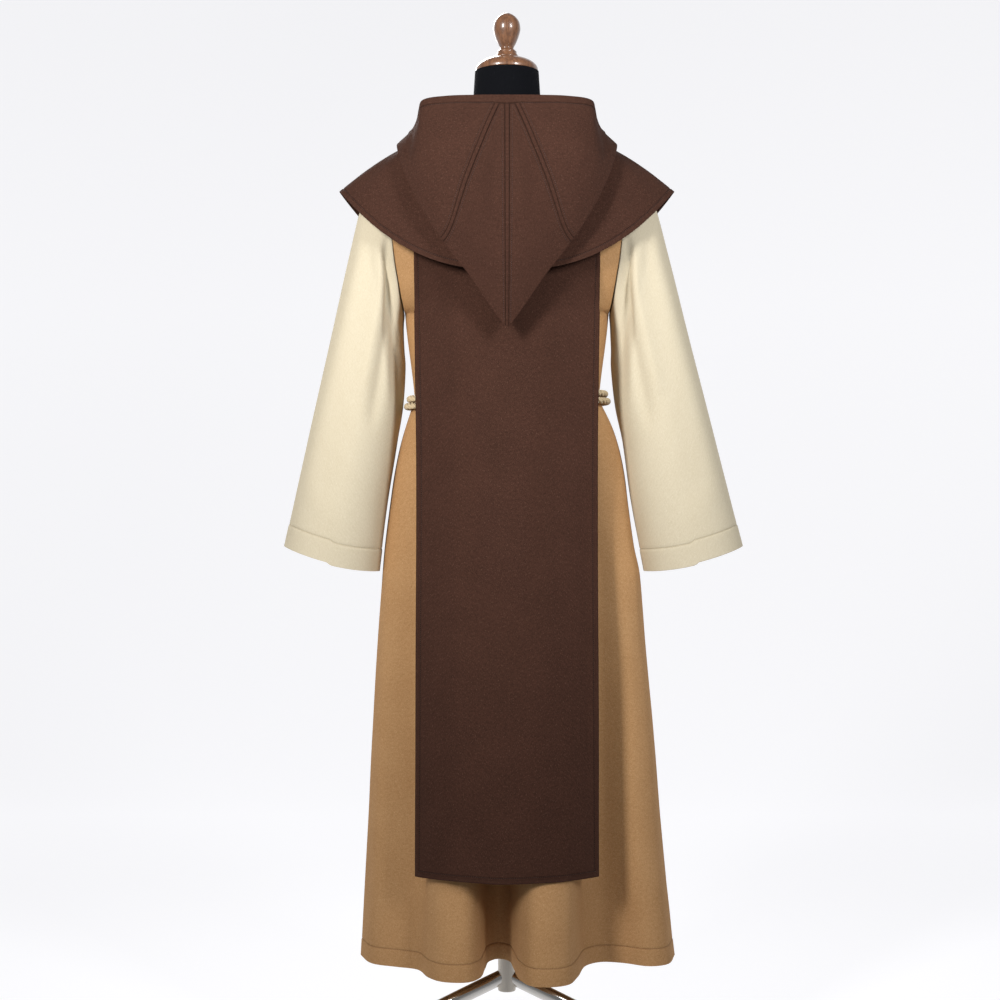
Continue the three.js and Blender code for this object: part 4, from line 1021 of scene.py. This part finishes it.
def border_lines(panel, inset):
    """Sewing lines down both sides of a panel and across its lower edge"""
    corner = inset / panel["left"][-1, -1]
    down = [line_inside(panel, edge, inset, 0.02, 0.995) for edge in ("left", "right")]
    return [*down, line_inside(panel, "bottom", inset, corner, 1 - corner)]


for name, back in (("back", True), ("front", False)):
    panel = lay_cloth(scapular(back), -1, scapular_relief, (EDGE_STEPS, 34), (EDGE_STEPS, 150), (90, 260))
    facts = {"flat": (0.33, 1.34), "held": "hung", "rests_on": [f"tunic_{name}_wool"]}
    sewn_panel(f"scapular_{name}", panel, TUNIC_WALL, BROWN, border_lines(panel, SEW_INSET), **facts)

# Shoulder cape: two halves of brown wool, seamed at the centre back and centre front, that stand
# out over the shoulders to a topstitched hem.
CAPE_WALL = 2.2
CAPE_HEM = {"half_width": 293, "depth": 150, "power": 1.7, "side_z": 1539, "middle_z": 1384, "rise": 2.4}
CAPE_NECK = {"half_width": 88, "back": 76, "front": 80}
CAPE_SHOULDER = {
    "half_width": 190, "back": 133, "front": 141, "power": 2.3, "side_z": 1627, "middle_z": 1622,
}
CORNER_RISE, FRONT_DROP, CAPE_LIFT, CAPE_FRONT_LIFT = 26, 20, 1.9, 1.6
CAPE_SEW = 9


def oval(half_width, depth, power, turn):
    angle = turn * np.pi
    sine = np.abs(np.sin(angle)) ** (2 / power)
    cosine = np.abs(np.cos(angle)) ** (2 / power) * np.sign(np.cos(angle))
    return half_width * sine, depth * cosine


def yoke_height(x, y):
    """The height of the tunic's yoke over a point in plan"""
    angle = np.arccos(np.clip(x / SHOULDER_TIP_X, -1, 1))
    theta = np.where(y >= 0, angle, 2 * np.pi - angle)
    low = np.zeros_like(theta)
    high = np.ones_like(theta)
    for _ in range(26):
        middle = (low + high) / 2
        inside = np.abs(yoke(theta, middle)[1]) < np.abs(y)
        low = np.where(inside, middle, low)
        high = np.where(inside, high, middle)
    return yoke(theta, low)[2]


def bend(start, through, end, t):
    t = t[..., None]
    return start * (1 - t) ** 2 + through * (2 * t * (1 - t)) + end * t**2


def cape_point(turn, down):
    front = turn > 0.5
    x, y = oval(CAPE_NECK["half_width"], np.where(front, CAPE_NECK["front"], CAPE_NECK["back"]), 2, turn)
    lift = TUNIC_WALL + CAPE_WALL + 2 * LAYER_GAP + NECK_EASE + CAPE_LIFT
    z = yoke_height(x, y) + lift + CAPE_FRONT_LIFT * smooth((turn - 0.5) / 0.12)
    neck = np.stack([x, y, z], axis=-1)
    depth = np.where(front, CAPE_SHOULDER["front"], CAPE_SHOULDER["back"])
    x, y = oval(CAPE_SHOULDER["half_width"], depth, CAPE_SHOULDER["power"], turn)
    sideways = np.sin(turn * np.pi) ** 2
    z = mix(CAPE_SHOULDER["middle_z"], CAPE_SHOULDER["side_z"], sideways)
    z = z + CORNER_RISE * np.sin(turn * 2 * np.pi) ** 2 - np.where(front, FRONT_DROP * (1 - sideways), 0)
    shoulder = np.stack([x, y, z], axis=-1)
    x, y = oval(CAPE_HEM["half_width"], CAPE_HEM["depth"], CAPE_HEM["power"], turn)
    z = mix(CAPE_HEM["middle_z"], CAPE_HEM["side_z"], (x / CAPE_HEM["half_width"]) ** CAPE_HEM["rise"])
    return bend(neck, shoulder, np.stack([x, y, z], axis=-1), down)


CAPE_CREASES = [
    (0.30, 0.03, 0.35, 1.10, 16, 2.0),
    (0.42, 0.02, 0.30, 1.10, 14, -1.8),
    (0.60, 0.02, 0.35, 1.10, 16, 1.8),
    (0.78, -0.02, 0.35, 1.10, 16, -1.6),
]


def cape_relief(cloth):
    hem = groove(cloth, cloth["bottom"], CAPE_SEW, 1.1, 0.8)
    turned = 0.5 * smooth((CAPE_SEW - cloth["bottom"]) / 2)
    return hem + turned + side_seams(cloth, 2, 0.8) + creases(cloth, CAPE_CREASES)


for label, side in (("left", 1), ("right", -1)):
    panel = lay_cloth(
        lambda u, v: cape_point(u, v) * (side, 1, 1),
        side,
        cape_relief,
        across=(EDGE_STEPS[:6], 84),
        down=(EDGE_STEPS, 40),
        dense=(220, 120),
    )
    hem = [line_inside(panel, "bottom", CAPE_SEW)]
    rests = ["scapular_back_wool", "scapular_front_wool"]
    facts = {"flat": (0.77, 0.29), "held": "draped", "area": 0.142, "rests_on": rests}
    sewn_panel(f"cape_{label}", panel, CAPE_WALL, BROWN, hem, **facts)

# Hood: four panels of the same brown wool, joined by a centre seam and two slanting ones that fan
# out from the rim, each topstitched on both sides, over a hidden layer sewn into the neck.
RIM_SEW, SEAM_SEW, STRIP_EDGE, SEAMS_PART = 17, 8.6, 3.6, 28
SLANT_AT_RIM, SLANT_AT_FOLD, SLANT_BOW = 0.024, 0.272, 0.056
GORE_SEWN, SIDE_SEWN, RIM_SEWN = (0.14, 0.98), (0.12, 0.98), (0.05, 0.98)
HOOD_RIM = table(
    "turn x y z",
    (0, 0, 118, 1683),
    (0.12, 50, 117, 1683),
    (0.25, 104, 113, 1682),
    (0.35, 143, 96, 1679),
    (0.42, 150, 66, 1668),
    (0.52, 146, 14, 1654),
    (0.66, 124, -57, 1652),
    (0.75, 97, -90, 1638),
    (0.84, 64, -116, 1618),
    (1, 0, -134, 1596),
)
HOOD_FOLD = table(
    "turn x y z",
    (0, 0, 160, 1287),
    (0.05, 13, 160, 1302),
    (0.11, 35, 160, 1333),
    (0.17, 60, 160, 1370),
    (0.23, 88, 158, 1406),
    (0.29, 118, 151, 1447),
    (0.35, 148, 136, 1496),
    (0.41, 172, 112, 1548),
    (0.47, 186, 76, 1592),
    (0.53, 189, 36, 1617),
    (0.64, 164, -43, 1630),
    (0.72, 139, -88, 1611),
    (0.8, 104, -120, 1577),
    (1, 0, -148, 1528),
)
HOOD_SWELL = table(
    "turn x y z",
    (0, 0, 208, 1490),
    (0.12, 45, 205, 1510),
    (0.23, 100, 190, 1550),
    (0.35, 146, 150, 1600),
    (0.42, 160, 106, 1626),
    (0.5, 165, 48, 1640),
    (0.64, 151, -55, 1652),
    (0.8, 95, -134, 1612),
    (1, 0, -164, 1570),
)


def hood_point(turn, down):
    rows = [np.stack(along(loop, turn, "x", "y", "z"), axis=-1) for loop in (HOOD_RIM, HOOD_SWELL, HOOD_FOLD)]
    return bend(*rows, down)


def slant(v):
    """Where the slanting seam lies round the hood, from the rim to the fold"""
    return mix(SLANT_AT_RIM, SLANT_AT_FOLD, v) + SLANT_BOW * np.sin(np.pi * v) * (1 - v)


def hood_gore(side):
    return lambda u, v: hood_point(u * slant(v), v) * (side, 1, 1)


def hood_side(side):
    return lambda u, v: hood_point(mix(slant(v), 1, u), v) * (side, 1, 1)


def sewn_seam(cloth, distance):
    """A seam under a raised strip with a groove along its edge, and a faint sewn row beside it that
    ends below the rim, where the seams meet"""
    below_rim = smooth((cloth["top"] - RIM_SEW) / 2)
    apart = smooth((cloth["top"] - SEAMS_PART) / SEAMS_PART)
    strip = 0.9 * smooth((STRIP_EDGE + 0.5 - distance) / 1.2) * below_rim
    row = groove(cloth, distance, SEAM_SEW, 1, 0.35 * apart, 0.4 * apart)
    return strip + groove(cloth, distance, STRIP_EDGE + 0.4, 0.9, 0.8 * below_rim, below_rim) + row


def rim_hem(cloth):
    return groove(cloth, cloth["top"], RIM_SEW, 1.1, 1, 0.9) + 0.7 * smooth((RIM_SEW - cloth["top"]) / 2)


HOOD_CREASES = [
    (0.16, -0.04, 0.10, 0.70, 20, 2.0),
    (0.30, 0.02, 0.25, 0.90, 22, -2.4),
    (0.42, 0.00, 0.10, 0.60, 18, 2.2),
]
HOOD_DOWN = (np.array([0, 1, 2, 4, 7, 10, 13, 15, 16, 16.6, 17.2, 17.8, 18.6, 20, 23, 27]), 64)


def gore_relief(cloth):
    return sewn_seam(cloth, cloth["left"]) + sewn_seam(cloth, cloth["right"]) + rim_hem(cloth)


def side_relief(cloth):
    front = groove(cloth, cloth["right"], 0, 2, 0.8)
    return sewn_seam(cloth, cloth["left"]) + front + rim_hem(cloth) + creases(cloth, HOOD_CREASES)


for label, side in (("left", 1), ("right", -1)):
    rests = [f"cape_{label}_wool", "scapular_back_wool"]
    gore = lay_cloth(hood_gore(side), side, gore_relief, (EDGE_STEPS, 12), HOOD_DOWN, (260, 240))
    lines = [line_inside(gore, edge, SEAM_SEW, *GORE_SEWN) for edge in ("left", "right")]
    facts = {"flat": (0.18, 0.41), "held": "hung", "area": 0.0225, "rests_on": rests}
    sewn_panel(f"hood_gore_{label}", gore, CAPE_WALL, BROWN, lines, **facts)
    flank = lay_cloth(hood_side(side), side, side_relief, (EDGE_STEPS, 80), HOOD_DOWN, (240, 200))
    lines = [line_inside(flank, "left", SEAM_SEW, *SIDE_SEWN), line_inside(flank, "top", RIM_SEW, *RIM_SEWN)]
    facts = {"flat": (0.56, 0.29), "held": "draped", "area": 0.053, "rests_on": rests}
    sewn_panel(f"hood_side_{label}", flank, CAPE_WALL, BROWN, lines, **facts)

# Hood's hidden layer: one strip of the same wool that runs from the hood's outer fold in under the
# hood and over the cape to the neck seam, where it is sewn on.
NAPE_LIFT, NAPE_HALF_WIDTH, NAPE_DEPTH, NAPE_REACH, NAPE_LEAVES_CAPE = 5, 230, 140, 1.25, 0.4
NAPE_CORNER_LIFT, NAPE_CORNER_TURN, NAPE_CORNER_WIDTH, NAPE_FLAT_AT_CENTRE = 2.1, 0.58, 0.12, 0.04


def outward_of(surface, turn, down, low, high):
    """The direction straight out of a half's surface, by its point function"""
    step = 0.0002
    round_it = surface(np.minimum(turn + step, 1), down) - surface(np.maximum(turn - step, 0), down)
    down_it = surface(turn, np.minimum(down + step, high)) - surface(turn, np.maximum(down - step, low))
    out = np.cross(round_it, down_it)
    return out / np.linalg.norm(out, axis=-1, keepdims=True)


def nape(u, v):
    around = 2 * u
    side = np.where(around <= 1, 1, -1)
    turn = np.where(around <= 1, around, 2 - around)
    ends = turn[:, :1]
    bottom = np.ones_like(ends)
    fold = hood_point(ends, bottom)
    end = fold - outward_of(hood_point, ends, bottom, 0, 1) * (2 * CAPE_WALL + 2 * LAYER_GAP)
    cape_turn = np.arctan2(fold[..., 0] / NAPE_HALF_WIDTH, fold[..., 1] / NAPE_DEPTH) / np.pi
    tries = np.linspace(0, NAPE_REACH, 51)[None, :]
    gaps = np.linalg.norm(cape_point(cape_turn + 0 * tries, 0 * cape_turn + tries) - end, axis=-1)
    reach = tries[0][gaps.argmin(axis=1)][:, None]
    beside = np.abs(cape_turn - NAPE_CORNER_TURN) / NAPE_CORNER_WIDTH
    corner = NAPE_CORNER_LIFT * smooth(1.6 - beside)
    under = np.minimum(v * reach, NAPE_REACH)
    lift = LAYER_GAP + corner + NAPE_LIFT * smooth(v * 3)
    placed = cape_turn + 0 * v
    out = outward_of(cape_point, placed, under, 0, NAPE_REACH)
    out[..., 0] *= smooth(np.minimum(cape_turn, 1 - cape_turn) / NAPE_FLAT_AT_CENTRE)
    laid = cape_point(placed, under) + out * lift[..., None]
    made = mix(laid, end, smooth((v - NAPE_LEAVES_CAPE) / (1 - NAPE_LEAVES_CAPE))[..., None])
    made[..., 0] = made[..., 0] * side
    return made


panel = lay_cloth(
    nape,
    -1,
    lambda cloth: 0 * cloth["top"],
    across=(EDGE_STEPS[:4], 130),
    down=(EDGE_STEPS[:6], 24),
    dense=(241, 80),
    closed=True,
)
piece = cloth_piece("hood_nape_wool", panel, CAPE_WALL, BROWN_WOOL, "brown_wool", "hood_nape", closed=True)

# Dress form: a padded torso and neck, covered in black jersey that is cut in panels and seamed down
# the centre and sides.
SHOULDER_SLOPE = math.atan2(NECK_POINT_Z - SHOULDER_TIP_Z, SHOULDER_TIP_X - NECK_POINT_X)
SHOULDER_SEAT = TUNIC_WALL / math.cos(SHOULDER_SLOPE) + LAYER_GAP - 0.1
FORM_SEAM_DEPTH, FORM_SEAM_WIDTH, FORM_ROUND_RADIUS = 0.6, 0.03, 60
KNIT_RIB = 1.3
FORM = table(
    "z half_width back front",
    (FORM_BOTTOM_Z, 148, 96, 96),
    (930, 158, 103, 103),
    (1000, 154, 102, 102),
    (1090, 144, 94, 94),
    (WAIST_Z, 138, 88, 88),
    (1260, 154, 94, 94),
    (1350, 170, 104, 104),
    (1450, 178, 106, 106),
    (1530, 184, 98, 98),
    (1575, 182, 60, 60),
    *[
        (ridge_z(x) - SHOULDER_SEAT, x, back, front)
        for x, back, front in ((186, 34, 34), (165, 44, 44), (117, 46, 38), (79, 46, 32))
    ],
    (1639, 68, 46, 32),
    (1662, 62, 50, 44),
    (1708, 58.5, 53, 49),
    (NECK_TOP_Z, 55.8, 54, 52),
)


def jersey():
    """Black cotton jersey: fine upright ribs of knit, faintly blue in the light"""
    knit = Finish("black_jersey")
    flat = knit.millimetres()
    parts = knit.node("ShaderNodeSeparateXYZ", {}, {"Vector": flat})
    ribs = parts.maths("SINE", parts * (2 * math.pi / KNIT_RIB)) * 0.5 + 0.5
    loops = knit.speckle(knit.millimetres((1, 0.6, 1)), 0.9, 2)
    lint = knit.ramp(knit.speckle(flat, 2.4, 2), 0.7, 0.78)
    tint = knit.blend(loops, colour(5, 6, 9), colour(12, 13, 18))
    return knit.close(
        Base_Color=knit.blend(lint * 0.25, tint, colour(96, 98, 106)),
        Roughness=0.84 + 0.1 * loops,
        Normal=knit.relief(ribs * 0.6 + loops, 0.35),
        Sheen_Weight=0.05,
        Sheen_Roughness=0.4,
        Specular_IOR_Level=0.1,
        Sheen_Tint=colour(120, 124, 140),
    )


heights = np.concatenate([np.linspace(FORM_BOTTOM_Z, 1560, 70), np.linspace(1564, NECK_TOP_Z, 80)])
angles = np.linspace(0, 2 * np.pi, 97)
widths = np.interp(heights, FORM["z"], FORM["half_width"])
backs = np.interp(heights, FORM["z"], FORM["back"])
fronts = np.interp(heights, FORM["z"], FORM["front"])
ring_depth = np.where(np.sin(angles)[:, None] > 0, backs, fronts)
seams = np.exp(-((np.sin(2 * angles)[:, None] / FORM_SEAM_WIDTH) ** 2)) * FORM_SEAM_DEPTH
points = np.stack(
    [
        (widths - seams) * np.cos(angles)[:, None],
        (ring_depth - seams) * np.sin(angles)[:, None],
        heights + 0 * angles[:, None],
    ],
    axis=-1,
)
flat = np.stack(np.meshgrid(angles * FORM_ROUND_RADIUS * MM, heights * MM, indexing="ij"), axis=-1)
bm = bmesh.new()
bend_grid(bm, points * MM, flat)
bmesh.ops.remove_doubles(bm, verts=bm.verts, dist=1e-6)
rims = [edge for edge in bm.edges if edge.is_boundary]
bmesh.ops.holes_fill(bm, edges=rims)
bmesh.ops.recalc_face_normals(bm, faces=bm.faces)
new_piece("form_jersey", bm, jersey(), "black_jersey", "form_torso")

# Neck cap and finial: a low dome that closes the form's neck and an egg on a ringed foot, two pieces
# of beech turned on a lathe, stained brown and varnished.
CAP_RADIUS, CAP_CROWN_RADIUS, CAP_RIM, CAP_ROUNDING, CAP_TOP_Z = 54.5, 21.5, 3, 1.2, 1773.5
CAP_BOTTOM_Z = NECK_TOP_Z + 0.3
FINIAL_BASE_Z, FINIAL_HEIGHT = CAP_TOP_Z + 0.3, 78.5
FINIAL = table(
    "z radius",
    (0, 20.4), (0.6, 20.9), (1.8, 20.9), (2.6, 20.1), (7, 17.5), (7.8, 16.5), (8.6, 16.5), (9.3, 17.1),
    (10.2, 17.1), (11, 15.8), (11.6, 15.2), (12.4, 15), (14.4, 12.4), (16, 11.7), (19, 12.6), (25, 15.8),
    (36, 20.3), (47, 23.4), (53, 23.6), (58, 22.9), (64, 20.9), (70, 16.5), (74.5, 11), (77.5, 5),
    (FINIAL_HEIGHT, 0),
)


def varnished_wood():
    wood = Finish("varnished_wood")
    grain = wood.speckle(wood.solid((260, 260, 22)), 1, 4, 0.6)
    flecks = wood.ramp(wood.speckle(wood.solid((1400, 1400, 90)), 1), 0.6, 0.72)
    body_tint = wood.blend(wood.ramp(grain, 0.3, 0.72), colour(92, 62, 44), colour(128, 88, 60))
    return wood.close(
        Base_Color=wood.blend(flecks * 0.5, body_tint, colour(84, 46, 30)),
        Roughness=0.28 + 0.14 * grain,
        Normal=wood.relief(flecks, 0.05),
        Coat_Weight=0.6,
        Coat_Roughness=0.14,
    )


VARNISH = varnished_wood()


def turn_piece(name, profile, node):
    """A piece turned on a lathe, from its profile of radii and heights in millimetres"""
    bm = bmesh.new()
    verts = [bm.verts.new((radius * MM, 0, z * MM)) for radius, z in profile]
    edges = [bm.edges.new(pair) for pair in zip(verts, verts[1:])]
    whole_turn = {"axis": (0, 0, 1), "angle": 2 * math.pi, "steps": 72, "use_merge": True}
    bmesh.ops.spin(bm, geom=verts + edges, cent=(0, 0, 0), **whole_turn)
    bmesh.ops.remove_doubles(bm, verts=bm.verts, dist=1e-6)
    bmesh.ops.recalc_face_normals(bm, faces=bm.faces)
    smooth_faces(bm)
    return new_piece(name, bm, VARNISH, "varnished_wood", node)


crown_angle = math.acos(CAP_CROWN_RADIUS / CAP_RADIUS)
dome_height = (CAP_TOP_Z - CAP_BOTTOM_Z - CAP_RIM) / math.sin(crown_angle)
cap_profile = [(0, CAP_BOTTOM_Z), (CAP_RADIUS - 8, CAP_BOTTOM_Z)]
for angle in np.linspace(math.pi / 2, 0, 6):
    across = CAP_RADIUS - CAP_ROUNDING * (1 - math.cos(angle))
    cap_profile.append((across, CAP_BOTTOM_Z + CAP_ROUNDING * (1 - math.sin(angle))))
for angle in np.linspace(0, crown_angle, 22):
    rise = CAP_RIM + dome_height * math.sin(angle)
    cap_profile.append((CAP_RADIUS * math.cos(angle), CAP_BOTTOM_Z + rise))
cap_profile.append((0, CAP_TOP_Z))
turn_piece("neck_cap_wood", cap_profile, "form_neck_cap")
steps = np.linspace(0, FINIAL_HEIGHT, 110)
finial_radius = np.maximum(along(FINIAL, steps, "radius")[0], 0)
finial_profile = [(0, FINIAL_BASE_Z), *zip(finial_radius[:-1], FINIAL_BASE_Z + steps[:-1])]
finial_profile += [(0, FINIAL_BASE_Z + FINIAL_HEIGHT)]
turn_piece("finial_wood", finial_profile, "form_finial")

# Stand: a pole of satin steel that goes up into the form, and two chromed tubes that slope down from
# it, each into the middle of a square chromed bar that lies across it on the floor.
POLE_RADIUS, POLE_BOTTOM_Z = 15.5, 142
LEG_RADIUS, LEG_ROOT_X, LEG_ROOT_Z, LEG_TOE_Z = 13, 2, 169, 16
FOOT_X, FOOT_LENGTH, FOOT_SIDE, FOOT_CHAMFER = 318, 300, 28, 5


def metal(name, light, dark, rough, brushed):
    """Metal with faint rubbed streaks"""
    steel = Finish(name)
    streaks = steel.speckle(steel.solid((900, 900, 30)), 1, 3)
    smears = steel.speckle(steel.solid((40, 40, 40)), 1, 3)
    return steel.close(
        Base_Color=steel.blend(streaks, dark, light),
        Metallic=1.0,
        Roughness=rough + brushed * streaks + 0.06 * smears,
        Normal=steel.relief(streaks, 0.02 * brushed),
    )


CHROME = metal("chromed_steel", colour(226, 224, 220), colour(206, 203, 198), 0.07, 0.03)
SATIN = metal("satin_steel", colour(214, 208, 198), colour(190, 184, 174), 0.34, 0.16)


def round_edges(bm, edges, width, segments):
    bmesh.ops.bevel(
        bm,
        geom=edges,
        offset=width * MM,
        offset_type="OFFSET",
        segments=segments,
        profile=0.5,
        affect="EDGES",
        material=-1,
    )


def tube(name, start, end, radius, material, slot, node):
    """A round tube between two points in millimetres, its ends slightly rounded"""
    start, end = Vector(start) * MM, Vector(end) * MM
    bm = bmesh.new()
    reach = end - start
    bmesh.ops.create_cone(
        bm,
        cap_ends=True,
        segments=48,
        radius1=radius * MM,
        radius2=radius * MM,
        depth=reach.length,
    )
    caps = [edge for edge in bm.edges if abs(edge.verts[0].co.z - edge.verts[1].co.z) < 1e-6]
    round_edges(bm, caps, 2, 4)
    for face in bm.faces:
        face.smooth = len(face.verts) == 4
    turn = reach.to_track_quat("Z", "Y").to_matrix().to_4x4()
    bmesh.ops.transform(bm, matrix=Matrix.Translation((start + end) / 2) @ turn, verts=bm.verts)
    return new_piece(name, bm, material, slot, node)


foot, head = (0, 0, POLE_BOTTOM_Z), (0, 0, FORM_BOTTOM_Z - 0.3)
tube("pole_tube", foot, head, POLE_RADIUS, SATIN, "pole_metal", "stand_pole")
for label, side in (("left", 1), ("right", -1)):
    root = (side * LEG_ROOT_X, 0, LEG_ROOT_Z)
    toe = (side * FOOT_X, 0, LEG_TOE_Z)
    tube(f"leg_{label}_tube", root, toe, LEG_RADIUS, CHROME, "chrome", f"stand_leg_{label}")
    bm = bmesh.new()
    size = Matrix.Diagonal((FOOT_SIDE * MM, FOOT_LENGTH * MM, FOOT_SIDE * MM, 1))
    spot = Matrix.Translation((side * FOOT_X * MM, 0, FOOT_SIDE / 2 * MM))
    bmesh.ops.create_cube(bm, size=1, matrix=spot @ size)
    round_edges(bm, bm.edges[:], FOOT_CHAMFER, 5)
    for face in bm.faces:
        face.smooth = face.calc_area() < 0.001
    new_piece(f"foot_{label}_bar", bm, CHROME, "chrome", f"stand_foot_{label}")

# Floor: one wide sheet of plain pale paper that lies under the stand and curves up behind it. It
# shines a little by itself, most of all at the back, so that the garment stands against white.
PAPER_NEAR, PAPER_FAR, PAPER_HALF_WIDTH, PAPER_TOP, PAPER_BEND = 9.0, -2.6, 9.0, 6.0, 1.8
PAPER_TINT, FLOOR_GLOW, BACK_GLOW = (0.26, 0.26, 0.263, 1), (0.14, 0.14, 0.142, 1), (0.79, 0.79, 0.81, 1)
bm = bmesh.new()
quarter = np.linspace(0, math.pi / 2, 25)
curve = [(PAPER_FAR - PAPER_BEND * math.sin(a), PAPER_BEND * (1 - math.cos(a))) for a in quarter]
line = [(PAPER_NEAR, 0), *curve, (PAPER_FAR - PAPER_BEND, PAPER_TOP)]
verts = [bm.verts.new((-PAPER_HALF_WIDTH, y, z)) for y, z in line]
edges = [bm.edges.new(pair) for pair in zip(verts, verts[1:])]
made = bmesh.ops.extrude_edge_only(bm, edges=edges)
moved = [item for item in made["geom"] if isinstance(item, bmesh.types.BMVert)]
bmesh.ops.translate(bm, vec=(2 * PAPER_HALF_WIDTH, 0, 0), verts=moved)
bmesh.ops.recalc_face_normals(bm, faces=bm.faces)
smooth_faces(bm)
paper_mesh = bpy.data.meshes.new("paper")
bm.to_mesh(paper_mesh)
bm.free()
paper = Finish("pale_paper")
tooth = paper.speckle(paper.solid((300, 300, 300)), 1)
depth = paper.node("ShaderNodeSeparateXYZ", {}, {"Vector": paper.solid()}, output=1)
glow = paper.blend(1 - paper.ramp(depth, -0.45, 0.7), FLOOR_GLOW, BACK_GLOW)
rough = 0.9 + 0.05 * tooth
surface = paper.close(Base_Color=PAPER_TINT, Roughness=rough, Emission_Color=glow, Emission_Strength=1)
paper_mesh.materials.append(surface)
floor = bpy.data.objects.new("paper", paper_mesh)
scene.collection.objects.link(floor)
